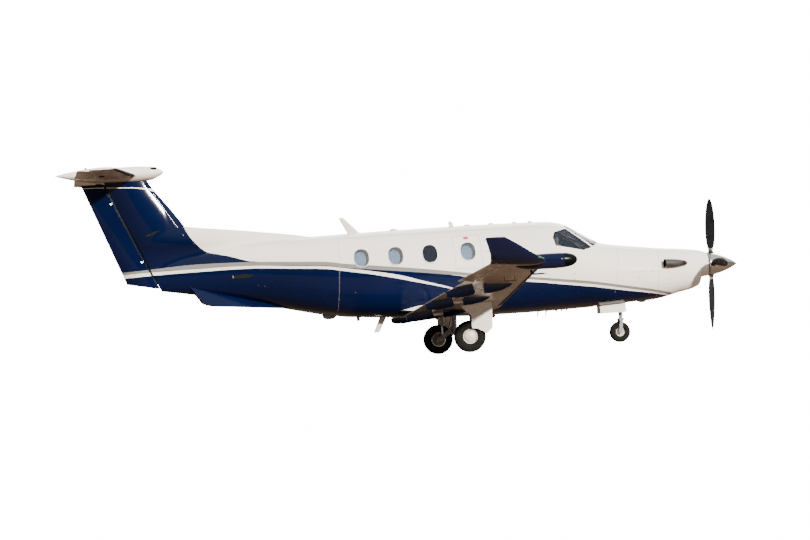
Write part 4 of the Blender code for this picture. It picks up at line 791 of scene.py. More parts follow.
def cushion(low, high, power=4.5, lean=0.0, into=None, cuts=7):
    # Crowned pad with soft corners between two corners of its box, leaned back about its foot
    shape = into or bmesh.new()
    low, high = Vector(low), Vector(high)
    middle, half = (low + high) / 2.0, (high - low) / 2.0
    turn = Matrix.Rotation(radians(-lean), 4, "Y")
    foot = Vector((middle.x, middle.y, low.z))
    count = cuts + 1
    known = {}

    def corner(key):
        if key not in known:
            spot = [2.0 * k / count - 1.0 for k in key]
            size = sum(abs(c) ** power for c in spot) ** (1.0 / power)
            place = middle + Vector([c / size * h for c, h in zip(spot, half)])
            known[key] = shape.verts.new(foot + turn @ (place - foot))
        return known[key]

    for axis in range(3):
        for level in (0, count):
            for i in range(count):
                for j in range(count):
                    keys = []
                    for a, b in ((i, j), (i + 1, j), (i + 1, j + 1), (i, j + 1)):
                        key = [a, b]
                        key.insert(axis, level)
                        keys.append(corner(tuple(key)))
                    shape.faces.new(keys if (level > 0) == (axis != 1) else keys[::-1])
    return shape


def pad(spot, half, power, into, cuts=7):
    # A cushion of these half sizes about a spot
    cushion(spot - Vector(half), spot + Vector(half), power, into=into, cuts=cuts)


def addPaneSeals():
    seals, visors = bmesh.new(), bmesh.new()
    radius = cockpit["sealWidth"] / 2.0
    for side in (port, starboard):
        tube(sealPath(cockpit["sideWindow"], side), radius, 8, seals, closed=True)
        tube([p for p in sealPath(cockpit["windshield"], side) if abs(p.y) > 0.03], radius, 8, seals)
        corners = ((0, 0.3, 0), (0, 0.5, 0.02), (0.03, 0.5, 0.045), (0.03, 0.3, 0.02))
        ends = []
        for x, z in cockpit["visor"]:
            ends.append([Vector((x + dx, side * y, z - drop)) for dx, y, drop in corners])
        loft(ends, into=visors)
    addFixed(("windshield_seals", seals, "trim", "dark_trim"),
             ("sun_visors", visors, "casting", "dark_trim"))


def addCrewSeats():
    # Cushion, back and headrest on tan-trimmed shells over boxes on a common base
    pads, frames, trims = bmesh.new(), bmesh.new(), bmesh.new()
    lean = cockpit["seatLean"]
    for x, y in cockpit["seats"]:
        cushion((x + 0.02, y - 0.19, 1.58), (x + 0.36, y + 0.19, 1.72), into=pads)
        cushion((x - 0.02, y - 0.19, 1.68), (x + 0.11, y + 0.19, 2.14), lean=lean, into=pads)
        cushion((x - 0.025, y - 0.13, 2.12), (x + 0.075, y + 0.13, 2.33), lean=lean, into=pads)
        for edgeY in (y - 0.195, y + 0.175):
            cushion((x - 0.055, edgeY, 1.7), (x + 0.07, edgeY + 0.02, 2.16), lean=lean, into=trims, cuts=4)
        cushion((x - 0.07, y - 0.12, 2.14), (x - 0.028, y + 0.12, 2.3), lean=lean, into=trims, cuts=4)
        slab((x - 0.03, y - 0.17, 1.4), (x + 0.3, y + 0.17, 1.58), frames, 0.012)
    slab((3.125, -0.495, 1.325), (3.595, 0.495, 1.415), frames, 0.01)
    addPiece("crew_seat_cushions", pads, "airframe", "greyLeather",
                       ("crew_seats",))
    addFixed(("crew_seat_trims", trims, "leather", "seat_leather"),
             ("crew_seat_frames", frames, "plastic", "dark_trim"))


def addControls():
    # Dark screens on the panel, and two yokes with open tops
    screens, yokes = bmesh.new(), bmesh.new()
    for y in cockpit["screens"]:
        slab((3.925, y - 0.105, 1.74), (3.955, y + 0.105, 1.9), screens, 0.004)
    for y in cockpit["yokes"]:
        tube([(3.97, y, 1.66), (3.8, y, 1.7), (3.76, y, 1.71)], 0.013, into=yokes)
        angles = [radians(200.0 + 20.0 * i) for i in range(8)]
        grip = [(3.755, y + 0.13 * cos(a), 1.72 + 0.075 * sin(a)) for a in angles]
        tube([(3.755, y - 0.125, 1.8)] + grip + [(3.755, y + 0.125, 1.8)], 0.011, into=yokes)
    addFixed(("panel_screens", screens, "radome", "dark_trim"),
             ("control_yokes", yokes, "plastic", "dark_trim"))


addPaneSeals()
addCrewSeats()
addControls()
print("cockpit made")


# Wing sections, the same values as the CAD
wing = {
    "startY": 0.8, "tipY": 7.72, "lead": (2.0, -0.04), "trail": (-0.1, 0.11), "z": 0.965,
    "dihedral": 5.35,
    "rootThickness": 0.155, "tipThickness": 0.125, "camber": 0.012, "edge": 0.006,
    "flap": (0.92, 5.3), "flapShare": 0.7, "flapAxisShare": 0.745, "flapDrop": 0.17, "flapRest": 15.0,
    "clearance": 0.006,
    "fairings": (1.22, 3.2, 5.12), "fairingWidth": 0.055, "fairingDepth": 0.2, "fairingLength": 0.55,
    "fairingGap": 0.13,
    "boot": (1.45, 7.62), "bootTop": 0.045, "bootBelow": 0.085,
    "winglet": ((7.7203, 1.723, 0.661, 1.613, 0.0), (7.86, 1.62, 0.655, 1.66, 28.0),
                (7.98, 1.42, 0.64, 1.765, 52.0), (8.07, 1.18, 0.59, 1.92, 60.0),
                (8.135, 0.9, 0.535, 2.08, 62.0)),
    "wingletEnd": (8.14, 0.09),
    # Ends, y and radius of the pod, then lamps, wicks, probes, hooks and access panels by their places
    "pod": (1.08, 2.355, -7.46, 0.145), "podSplit": (0.8, 0.962),
    "podScrews": ((0.62, 0.035), (0.96, 0.02)),
    "lamp": (1.52, 1.61, 7.9, 1.652, 1.684),
    "wicks": ((0.62, 8.08, 2.02, 0.485, 2.035), (0.64, 7.96, 1.84, 0.53, 1.845)),
    "probes": ((7.02, 0.19), (6.9, 0.25)), "hookY": 6.05, "panels": (1.75, 2.75, 3.75, 4.6, 5.6, 6.6),
}
foilShares = [0.5 - 0.5 * cos(pi * i / 28.0) for i in range(29)]
# The half circle round the nose of a control surface
noseTurns = [radians(90.0 - 15.0 * i) for i in range(13)]


def wingStation(y):
    lead = wing["lead"][0] + wing["lead"][1] * (y - wing["startY"])
    trail = wing["trail"][0] + wing["trail"][1] * (y - wing["startY"])
    z = wing["z"] + tan(radians(wing["dihedral"])) * max(y - wing["startY"], 0.0)
    share = y / wing["tipY"]
    return lead, lead - trail, z, between(wing["rootThickness"], wing["tipThickness"], share)


def foilHalf(s, thickness):
    # Half thickness of the usual four-digit section
    return 5.0 * thickness * (0.2969 * sqrt(s) - 0.126 * s - 0.3516 * s * s + 0.2843 * s ** 3
                              - 0.1036 * s ** 4)


def foilPoint(station, share, upper, grow=0.0):
    # Point of the wing section at a share of its chord, as (x, z)
    lead, chord, z, thickness = station
    half = max(foilHalf(share, thickness) * chord, wing["edge"] / 2.0 if share > 0.5 else 0.0) + grow
    x = lead - share * chord + (grow if share < 0.005 else 0.0)
    middle = z + wing["camber"] * 4.0 * share * (1.0 - share) * chord
    return x, middle + (half if upper else -half) * (share > 0.0)


def foilRing(y, side, shares, grow=0.0):
    station = wingStation(y)
    ring = []
    for upper in (True, False):
        for share in (reversed(shares) if upper else shares[1:]):
            x, z = foilPoint(station, share, upper, grow)
            ring.append(Vector((x, side * y, z)))
    return ring


def controlRing(station, y, side, share, offset):
    # Aft part of a section behind a round nose
    lead, chord, z, thickness = station
    radius = foilHalf(share, thickness) * chord - offset
    noseX = lead - share * chord - radius - wing["clearance"]
    noseZ = z + wing["camber"] * 4.0 * share * (1.0 - share) * chord if offset > 0.0015 else z
    ring = [Vector((noseX + radius * cos(a), side * y, noseZ + radius * sin(a)))
            for a in noseTurns]
    for high in (-0.5, 0.5):
        ring.append(Vector((lead - chord, side * y, z + wing["edge"] * high)))
    return ring


def flapEnds(side):
    ends = []
    for y in wing["flap"]:
        lead, chord, z, _ = wingStation(y)
        ends.append(Vector((lead - wing["flapAxisShare"] * chord, side * y, z - wing["flapDrop"])))
    return ends


def flapTurn(side):
    # The flaps rest partly down, turned about their hinge line
    low, high = flapEnds(side)
    turn = Matrix.Rotation(radians(-wing["flapRest"]), 4, side * (high - low))
    return Matrix.Translation(low) @ turn @ Matrix.Translation(-low)


def openLoft(rings):
    return loft(rings, capped=False)


def wingletRing(y, lead, trail, z, lean, side):
    chord = lead - trail
    across, up = sin(radians(lean)), cos(radians(lean))
    endY, endThickness = wing["wingletEnd"]
    thickness = between(wing["tipThickness"], endThickness, (y - wing["tipY"]) / (endY - wing["tipY"]))
    station = (lead, chord, 0.0, thickness)
    ring = []
    for upper in (True, False):
        for share in (reversed(foilShares) if upper else foilShares[1:]):
            x, h = foilPoint(station, share, upper)
            ring.append(Vector((x, side * (y - h * across), z + h * up)))
    return ring


def canoe(side, y, front, back, noseShare, tailShare, grow=0.0015):
    # Slim fairing under the wing: half an ellipse deep, pointed where its share is small
    _, _, z, _ = wingStation(y)
    rings = []
    for i in range(13):
        share = i / 12.0
        x = between(front, back, share)
        fullness = between(noseShare, tailShare, share)
        roundOff = sqrt(max(1.0 - (1.0 - fullness) ** 2, 0.01))
        width, depth = wing["fairingWidth"] * roundOff + grow, wing["fairingDepth"] * roundOff + grow
        ring = [Vector((x, side * (y - width), z - 0.02)), Vector((x, side * (y + width), z - 0.02))]
        for step in range(15):
            angle = pi * step / 14.0
            low = z - 0.06 - (depth - 0.02) * sin(angle) ** 0.8
            ring.append(Vector((x, side * (y + width * cos(angle)), low)))
        rings.append(ring)
    return rings


def addWingSkins(label, side):
    skinGuide = Guide(openLoft([foilRing(y, side, foilShares) for y in (0.06, 0.8, 2.0, 4.0, 6.0, 7.72)]))
    dressed("wing_skin_" + label, "wing_" + label, "airframe", "white", [skinGuide])
    name = "aileron_" + label
    addPiece("aileron_skin_" + label, mergedCopy((name,)), name, "white", (name,), angle=25.0)
    rings = [controlRing(wingStation(y), y, side, wing["flapShare"], 0.002) for y in wing["flap"]]
    flapShape = openLoft(rings)
    bmesh.ops.transform(flapShape, matrix=flapTurn(side), verts=flapShape.verts)
    dressed("flap_skin_" + label, "flap_" + label, "flap_" + label, "white", [Guide(flapShape)])


def addFlapFairings(label, side):
    # Painted canoes over the flap hinges, a front half on the wing and a back half on the flap
    fronts, backs = bmesh.new(), bmesh.new()
    low, high = flapEnds(side)
    first, last = wing["flap"]
    length = wing["fairingLength"]
    for y in wing["fairings"]:
        lead, chord, _, _ = wingStation(y)
        end = lead - wing["flapShare"] * chord + wing["fairingGap"]
        loft(canoe(side, y, end + length, end - 0.001, 0.05, 1.0), into=fronts)
        pivot = low.lerp(high, (y - first) / (last - first))
        loft(canoe(side, y, pivot.x + 0.001, pivot.x - length, 1.0, 0.08), into=backs)
    bmesh.ops.transform(backs, matrix=flapTurn(side), verts=backs.verts)
    addPiece("flap_fairing_fronts_" + label, fronts, "airframe", "navyLow", angle=50.0)
    addPiece("flap_fairing_backs_" + label, backs, "flap_" + label, "navyLow", angle=50.0)


def bootRings(side):
    # De-icing boot: a thin shell round the leading edge
    above = [wing["bootTop"] * (1.0 - i / 8.0) ** 2 for i in range(9)]
    below = [wing["bootBelow"] * (i / 10.0) ** 2 for i in range(1, 11)]
    rings = []
    for y in steps(*wing["boot"], 24):
        station = wingStation(y)
        ring = []
        for grow, order in ((0.0028, 1), (-0.002, -1)):
            points = [foilPoint(station, s, True, grow) for s in (above if order > 0 else above[:-1])]
            points += [foilPoint(station, s, False, grow) for s in below]
            ring += points[::order]
        rings.append([Vector((x, side * y, z)) for x, z in ring])
    return rings


def addWinglet(label, side):
    rings = [wingletRing(*row, side) for row in wing["winglet"]]
    dressed("winglet_skin_" + label, "winglet_" + label, "airframe", "navy", [Guide(openLoft(rings))])
    back, front, y, low, high = wing["lamp"]
    lamp = cushion((back, side * y - 0.018, low), (front, side * y + 0.018, high), 2.4)
    addPiece("tip_lamp_" + label, lamp, "airframe", "red" if side == port else "green")


def addWings():
    boots, wicks = bmesh.new(), bmesh.new()
    for label, side in sides:
        addWingSkins(label, side)
        addFlapFairings(label, side)
        loft(bootRings(side), into=boots)
        addWinglet(label, side)
        for startX, y, startZ, endX, endZ in wing["wicks"]:
            rod((startX, side * y, startZ), (endX, side * y, endZ), 0.0045, 0.002, into=wicks)
    addFixed(("wing_boots", boots, "boot", "black_rubber"), ("wing_wicks", wicks, "dark", "dark_trim"))


def addPod():
    # Navy body and black nose, both turned from the same (share of the length, share of the radius)
    back, front, y, radius = wing["pod"]
    z = wingStation(-y)[2] + 0.02
    spine = ((0.0, 0.05), (0.03, 0.28), (0.1, 0.62), (0.17, 0.8), (0.25, 0.92), (0.35, 0.98), (0.45, 1.0),
             (0.62, 1.0), (0.72, 1.0), (0.78, 0.975), (0.84, 0.93), (0.89, 0.84), (0.93, 0.72), (0.96, 0.58),
             (0.98, 0.42), (0.993, 0.27), (1.0, 0.1))
    split, size = wing["podSplit"]
    body = [row for row in spine if row[0] < split] + [(split - 0.002, size)]
    nose = [(split, size)] + [row for row in spine if row[0] > split]
    for name, material, part, source in (("pod_skin", "navy", body, ("radar_pod",)),
                                         ("pod_radome", "radome", nose, ())):
        profile = [(share * (front - back), girth * radius) for share, girth in part]
        addPiece(name, spun(profile, (back, y, z), (1, 0, 0), 48), "airframe", material,
                 source)
    marks = bmesh.new()
    for ahead, rise in wing["podScrews"]:
        rod((back + ahead, y - radius * 0.93, z + rise), (back + ahead, y - radius * 1.02, z + rise), 0.012,
            into=marks)
    addPiece("pod_fasteners", marks, "airframe", "steel")


def addWingDetails():
    # Probes, tie-down hooks with orange tips, and round access panels under the wings
    probes, panels, tips = bmesh.new(), bmesh.new(), bmesh.new()
    for side in (port, starboard):
        for y, length in wing["probes"]:
            lead, _, z, _ = wingStation(y)
            foot = Vector((lead - 0.2, side * y, z - 0.075))
            path = ((0.0, 0.0), (0.02, -0.055), (0.06, -0.075), (0.06 + length, -0.075))
            tube([foot + Vector((x, 0, dz)) for x, dz in path], (0.012, 0.011, 0.009, 0.006), 10, probes)
        y = wing["hookY"]
        lead, chord, z, _ = wingStation(y)
        foot = Vector((lead - 0.42 * chord, side * y, z - 0.085))
        path = ((-0.05, 0.03), (-0.04, -0.04), (0.0, -0.055), (0.15, -0.05), (0.16, 0.02))
        tube([foot + Vector((x, 0, dz)) for x, dz in path], 0.006, 10, probes)
        cushion(foot + Vector((0.15, -0.011, -0.062)), foot + Vector((0.19, 0.011, -0.04)), 3.0, into=tips)
        for y in wing["panels"]:
            rings = []
            for grow in (0.0, 0.0022):
                ring = []
                for angle in turns(24):
                    panelY = y + 0.1 * cos(angle)
                    x, low = foilPoint(wingStation(panelY), 0.38 + 0.055 * sin(angle), False, grow)
                    ring.append(Vector((x, side * panelY, low)))
                rings.append(ring)
            loft(rings, into=panels)
    addFixed(("wing_probes", probes, "dark", "dark_trim"), ("tie_down_tips", tips, "orange", "red_lens"),
             ("wing_access_panels", panels, "white", "white_paint"))


addWings()
addPod()
addWingDetails()
print("wings made")

# Tail: the fin's leading edge and the bullet as (x, z) and (x, z, radius), the same values as the CAD
tail = {
    "fin": ((-1.8, 2.645), (-2.1, 2.705), (-2.52, 2.77), (-3.37, 2.89), (-4.2, 2.99), (-4.48, 3.03),
            (-4.76, 3.42), (-5.08, 3.83), (-5.19, 4.0), (-5.24, 4.12)),
    "finWidths": (0.11, 0.062), "hinge": (-5.175, 1.85, -0.4543), "rudder": (-5.819, 1.93, -0.3706, 4.012),
    "rudderRadii": (0.056, 0.04), "z": 4.155, "halfSpan": 2.6, "lead": (-5.4, -5.96),
    "trail": (-6.72, -6.69),
    "thickness": 0.105, "elevatorShare": 0.62, "elevator": (0.175, 2.44),
    "bullet": ((-4.848, 4.2, 0.012), (-4.92, 4.2, 0.065), (-5.15, 4.19, 0.146), (-5.5, 4.19, 0.163),
               (-6.05, 4.192, 0.158), (-6.47, 4.205, 0.132), (-6.82, 4.225, 0.078), (-7.085, 4.24, 0.016)),
    "beacon": (-6.465, 0.0, 4.33), "sealRun": (1.86, 4.0), "screws": (2.36, 2.5, 2.62, 2.76),
    # The boot's bright edge and the duct's inlet on the fin, as (x, z)
    "bootEdge": ((-5.103, 3.768), (-4.95, 3.522), (-4.795, 3.272), (-4.64, 3.022), (-4.52, 2.83)),
    "inlet": ((-5.33, 2.862), (-5.27, 2.905), (-5.12, 2.955), (-4.995, 2.978), (-5.05, 2.945),
              (-5.13, 2.905), (-5.2, 2.878)),
    "mouth": (-5.06, 0.098, 4.285), "bracketY": 1.25,
}


def hingeX(z):
    x, base, slope = tail["hinge"]
    return x + slope * (z - base)


def finRings():
    rings = []
    foot, top = tail["fin"][0][1], tail["fin"][-1][1]
    for x, z in tail["fin"]:
        share = (z - foot) / (top - foot)
        half = between(*tail["finWidths"], share)
        slope = min(0.35 * (x - hingeX(z)), 0.5)
        points = [(x, 0.012), (x - slope * 0.35, half * 0.62), (x - slope, half), (hingeX(z) - 0.1, half)]
        points += [(px, -py) for px, py in reversed(points)]
        rings.append([Vector((px, py, z)) for px, py in points])
    return rings


def rudderRadius(z):
    low, high = tail["hinge"][1] - 0.085, tail["rudder"][3]
    return between(*tail["rudderRadii"], (z - low) / (high - low))


def rudderRings():
    rings = []
    startX, base, slope, high = tail["rudder"]
    for z, lift in ((tail["hinge"][1] - 0.085, 0.12), (high, 0.0)):
        radius = rudderRadius(z)
        ring = [Vector((hingeX(z) + radius * cos(a), radius * sin(a), z)) for a in noseTurns]
        ring += [Vector((startX + slope * (z - base), y, z + lift)) for y in (-0.003, 0.003)]
        rings.append(ring)
    return rings


def tailStation(y):
    share = abs(y) / tail["halfSpan"]
    lead, trail = between(*tail["lead"], share), between(*tail["trail"], share)
    return lead, lead - trail, tail["z"], tail["thickness"]


def tailPoint(y, share, upper, grow=0.0):
    lead, chord, z, thickness = tailStation(y)
    half = (foilHalf(share, thickness) * chord + grow) * (share > 0.0)
    return Vector((lead - share * chord + (grow if share < 0.003 else 0.0), y,
                   z + (half if upper else -half)))


def tailRing(y, shares, grow=0.0):
    above = [tailPoint(y, s, True, grow) for s in reversed(shares)]
    return above + [tailPoint(y, s, False, grow) for s in shares[1:]]


def bulletRing(x, count, grow=0.0):
    rows = tail["bullet"]
    z = curveAt([(-row[0], row[1]) for row in rows], -x)
    radius = curveAt([(-row[0], row[2]) for row in rows], -x) + grow
    return ringAbout(Vector((x, 0.0, z)), Vector((0, 1, 0)), Vector((0, 0, 1)), radius, count)


def addTailSkins():
    shares = [0.62 * (i / 16.0) ** 1.6 for i in range(17)]
    dressed("fin_skin", "fin", "airframe", "fuselage", [Guide(openLoft(finRings()))])
    dressed("rudder_skin", "rudder", "rudder", "fuselage", [Guide(openLoft(rudderRings()))])
    tailGuide = Guide(openLoft([tailRing(y, shares) for y in steps(-2.54, 2.54, 9)]))
    dressed("tailplane_skin", "tailplane", "airframe", "white", [tailGuide])
    bullet = loft([bulletRing(x, 64) for x in steps(-4.8485, -7.0845, 72)])
    addPiece("bullet_skin", bullet, "airframe", "white", ("tail_bullet",))
    for label, side in sides:
        share = tail["elevatorShare"]
        rings = [controlRing(tailStation(y), y, side, share, 0.001) for y in tail["elevator"]]
        name = "elevator_" + label
        dressed("elevator_skin_" + label, name, name, "white", [Guide(openLoft(rings))])
        name = "strake_" + label
        addPiece("strake_skin_" + label, mergedCopy((name,)), "airframe", "navy", (name,),
                 angle=25.0)


def addTailBoots():
    boots = bmesh.new()
    shares = [0.055 * (1.0 - i / 7.0) ** 2 for i in range(8)]
    for side in (port, starboard):
        rings = []
        for y in steps(0.3, 2.5, 12):
            ring = [tailPoint(side * y, s, True, 0.0025) for s in shares]
            ring += [tailPoint(side * y, s, False, 0.0025) for s in reversed(shares[:-1])]
            ring += [tailPoint(side * y, s, False, -0.002) for s in shares]
            ring += [tailPoint(side * y, s, True, -0.002) for s in reversed(shares[:-1])]
            rings.append(ring)
        loft(rings, into=boots)
    addPiece("tailplane_boots", boots, "airframe", "boot")


def addRudderSeal():
    # Black plate between fin and rudder, with a lip on each side, so that no light shows through the gap; its
    # black is painted shadow in the gap
    seal = bmesh.new()
    heights = steps(*tail["sealRun"], 12)
    rings = []
    for z in heights:
        front, back = hingeX(z) + 0.15, hingeX(z) + rudderRadius(z) + 0.003
        corners = ((front, 0.012), (back, 0.006), (back, -0.006), (front, -0.012))
        rings.append([Vector((x, y, z)) for x, y in corners])
    loft(rings, into=seal)
    for side in (port, starboard):
        rings = []
        for z in heights:
            near = side * (rudderRadius(z) + 0.008)
            far = near + side * 0.003
            rings.append([Vector((hingeX(z) + ahead, y, z))
                          for ahead, y in ((0.11, near), (0.022, near), (0.022, far), (0.11, far))])
        loft(rings, into=seal)
    addPiece("rudder_gap_shadow_seal", seal, "airframe", "trim", angle=20.0)


def addFinParts():
    # Thin bright metal edge of the fin boot, partly its real edge and partly a painted highlight line, the
    # inlet of the tail's cooling duct as a black patch of painted shadow, and screws along the hinge
    highlightEdge, inlets, fittings = bmesh.new(), bmesh.new(), bmesh.new()
    finTree = BVHTree.FromBMesh(openLoft(finRings()))

    def onFin(x, z, side):
        return finTree.ray_cast(Vector((x, side * 2.0, z)), Vector((0, -side, 0)))[0]

    for side in (port, starboard):
        outward = Vector((0, side, 0))
        path = [onFin(x, z, side) for x, z in tail["bootEdge"]]
        # Pale metal strip standing partly for the highlight line along the boot's edge
        tube([spot + outward * 0.001 for spot in path if spot is not None], 0.0045, 8, highlightEdge)
        # A thin black patch: painted shadow of the duct's open mouth
        patch([(onFin(x, z, side), outward) for x, z in tail["inlet"]], (-0.001, 0.002), inlets)
    for z in tail["screws"]:
        for side in (port, starboard):
            pad(Vector((hingeX(z) + 0.066, side * 0.052, z)), (0.009, 0.008, 0.012), 3.0, fittings, 3)
    addFixed(("fin_boot_edge_highlight", highlightEdge, "cuff", "grey_metal"), ("fin_inlet_shadows", inlets, "sootAndShadow", "dark_trim"),
             ("rudder_fittings", fittings, "cuff", "grey_metal"))


def addBulletParts():
    # Cooling inlets on the bullet as small black cups of painted shadow, the brackets under the tailplane,
    # and the tail lamp
    mouths, brackets = bmesh.new(), bmesh.new()
    x, y, z = tail["mouth"]
    for side in (port, starboard):
        centre = Vector((x, side * y, z))
        rings = []
        for grow, push in ((0.0, 0.0), (0.01, 0.004), (0.0, 0.02)):
            rings.append([centre + Vector((0.075 * cos(a), side * push, (0.022 + grow) * sin(a)))
                          for a in turns(24)])
        loft(rings, into=mouths)
        lead, chord, level, _ = tailStation(tail["bracketY"])
        foot = Vector((lead - 0.5 * chord, side * tail["bracketY"], level))
        cushion(foot - Vector((0.055, 0.01, 0.08)), foot + Vector((0.065, 0.01, -0.025)), 3.2, into=brackets)
    addFixed(("bullet_inlet_shadows", mouths, "sootAndShadow", "dark_trim"),
             ("elevator_brackets", brackets, "plastic", "dark_trim"))
    x, z, _ = tail["bullet"][-1]
    lamp = spun(((-0.012, 0.016), (0.0, 0.017), (0.014, 0.014), (0.022, 0.004)), (x, 0.0, z), (-1, 0, 0), 24)
    addPiece("tail_lamp", lamp, "airframe", "clear")


addTailSkins()
addTailBoots()
addRudderSeal()
addFinParts()
addBulletParts()
print("tail made")


# Propeller on an axis that points a little down at the nose: (radius, chord, thickness, pitch) along a blade
propeller = {
    "hub": (6.745, 1.55), "drop": 2.5, "spinnerBack": 6.676, "spinnerRadius": 0.25, "tip": 7.315,
    "blades": 4,
    "sections": ((0.12, 0.07, 0.07, 58.0), (0.28, 0.09, 0.062, 57.0), (0.42, 0.176, 0.036, 54.0),
                 (0.6, 0.226, 0.024, 50.0), (0.85, 0.246, 0.017, 45.0), (1.11, 0.216, 0.012, 40.0),
                 (1.3, 0.15, 0.008, 36.0), (1.4, 0.05, 0.006, 34.0)),
}


def thrustPoint(x):
    hubX, hubZ = propeller["hub"]
    return Vector((x, 0.0, hubZ + tan(radians(propeller["drop"])) * (hubX - x)))


def bladeRing(radius, out, roundWay, ahead, hub, grow=0.0, count=28):
    sections = propeller["sections"]
    chord, thickness, pitch = (curveAt([(row[0], row[k]) for row in sections], radius) for k in (1, 2, 3))
    tilt = radians(pitch)
    along = roundWay * cos(tilt) + ahead * sin(tilt)
    through = ahead * cos(tilt) - roundWay * sin(tilt)
    centre = hub + out * radius
    halfChord, halfDepth = 0.5 * chord + grow, 0.5 * thickness + grow
    return [centre + along * (halfChord * cos(a)) + through * (halfDepth * sin(a)) for a in turns(count)]


def addPropeller():
    ahead = (thrustPoint(1.0) - thrustPoint(0.0)).normalized()
    upward = ahead.cross(Vector((0, 1, 0)))
    back, hub = thrustPoint(propeller["spinnerBack"]), thrustPoint(propeller["hub"][0])
    nose = (thrustPoint(propeller["tip"]) - back).length
    radius = propeller["spinnerRadius"]
    profile = [(-0.3, 0.06), (-0.006, 0.06), (-0.006, radius - 0.006), (0.0, radius), (0.012, radius)]
    for share in [0.03 + 0.97 * i / 26.0 for i in range(27)]:
        profile.append((nose * share, max(radius * (1.0 - share ** 1.5) ** 0.85, 0.004)))
    addPiece("spinner_shell", spun(profile, back, ahead, 96), "propeller", "polished",
             ("spinner",))
    cuffs, roots, plate = bmesh.new(), bmesh.new(), bmesh.new()
    spun(((0.004, radius + 0.0015), (0.016, radius + 0.0025), (0.02, radius + 0.0005)), back, ahead, 96,
         plate)
    for index in range(propeller["blades"]):
        angle = radians(360.0 / propeller["blades"] * index)
        out = Vector((0, 1, 0)) * sin(angle) + upward * cos(angle)
        roundWay = upward * sin(angle) - Vector((0, 1, 0)) * cos(angle)
        name = f"blade_{index + 1}"
        radii = steps(0.3, 1.37, 40) + [1.385, 1.394, 1.4]
        rings = [bladeRing(r, out, roundWay, ahead, hub) for r in radii]
        addPiece(name + "_blade", loft(rings), "propeller", "blade", (name,), angle=60.0)
        loft([bladeRing(r, out, roundWay, ahead, hub, grow)
              for r, grow in ((0.1, 0.004), (0.27, 0.006), (0.3, 0.006), (0.335, 0.001))], into=cuffs)
        spun(((0.185, 0.062), (0.262, 0.06), (0.268, 0.05), (0.285, 0.048)), hub, out, 32, roots)
    addPiece("blade_cuffs", cuffs, "propeller", "cuff")
    addPiece("blade_root_boots", roots, "propeller", "boot")
    addPiece("spinner_back_plate", plate, "propeller", "steel")


# Exhaust stubs, scooped-out openings round them, and the small parts on the cowling
cowling = {
    "stack": ((6.15, 0.245, 1.59, 0.055), (6.1, 0.35, 1.59, 0.062), (6.0, 0.45, 1.593, 0.074),
              (5.87, 0.52, 1.6, 0.083), (5.74, 0.56, 1.608, 0.087), (5.6, 0.585, 1.612, 0.088)),
    "squash": 0.95, "wall": 0.008, "sleeve": 0.46, "intake": (1.195, 0.155, 0.055),
    # Latches as (x, z, half length, half height), louvres as first x, pitch, count and z
    "latches": ((5.055, 1.462, 0.022, 0.011), (5.335, 1.462, 0.022, 0.011), (5.02, 1.335, 0.018, 0.01),
                (5.42, 1.02, 0.018, 0.01)),
    "louvres": (5.64, 0.035, 4, 1.3),
}


def stackPoint(share):
    # Centre, radius and direction at a share of the stub's length
    path = cowling["stack"]
    place = share * (len(path) - 1)
    index = min(int(place), len(path) - 2)
    t = place - index
    rows = [path[max(index - 1, 0)], path[index], path[index + 1], path[min(index + 2, len(path) - 1)]]
    row = []
    for a, b, c, d in zip(*rows):
        bend, twist = 2 * a - 5 * b + 4 * c - d, 3 * b - a - 3 * c + d
        row.append(0.5 * (2 * b + (c - a) * t + bend * t * t + twist * t ** 3))
    return Vector(row[:3]), row[3]


def stackRings(side, shares, grow, count=40):
    rings = []
    for share in shares:
        centre, radius = stackPoint(share)
        along = (stackPoint(min(share + 0.01, 1.0))[0] - stackPoint(max(share - 0.01, 0.0))[0]).normalized()
        centre.y *= side
        along.y *= side
        across = along.cross(Vector((0, 0, 1))).normalized()
        rings.append(ringAbout(centre, across, across.cross(along), radius + grow, count, cowling["squash"]))
    return rings


def addExhausts():
    wall, sleeve = cowling["wall"], cowling["sleeve"]
    beads = bmesh.new()
    shares = steps(0.0, 1.0, 26)
    shroud = [s for s in shares if s >= sleeve]
    for label, side in sides:
        # The stub is open at its mouth, with an inner wall that runs back to its middle
        outer = stackRings(side, shares, -0.001)
        inner = stackRings(side, [s for s in reversed(shares) if s > 0.55], -wall)
        shape = loft(outer + inner, capped=False)
        verts = list(shape.verts)
        shape.faces.new(verts[:40])
        shape.faces.new(verts[-40:])
        bmesh.ops.recalc_face_normals(shape, faces=shape.faces)
        addPiece("exhaust_stack_" + label, shape, "airframe", "exhaust",
                 ("exhaust_" + label,))
        shell = stackRings(side, shroud, 0.0022) + stackRings(side, shroud[::-1], 0.0004)
        shape = loft(shell + shell[:1], capped=False)
        addPiece("exhaust_shroud_" + label, shape, "airframe", "sleeve")
        tube(stackRings(side, [0.999], -0.003)[0], 0.004, 8, beads, closed=True)
        # A black liner closing the pipe: soot, and painted shadow of the pipe's depth
        liner = stackRings(side, (0.97, 0.62), -wall - 0.002) + stackRings(side, (0.62,), -0.06)
        addPiece("exhaust_sooty_shadow_liner_" + label, loft(liner, capped=False), "airframe", "sootAndShadow")
    addPiece("exhaust_beads", beads, "airframe", "exhaust")


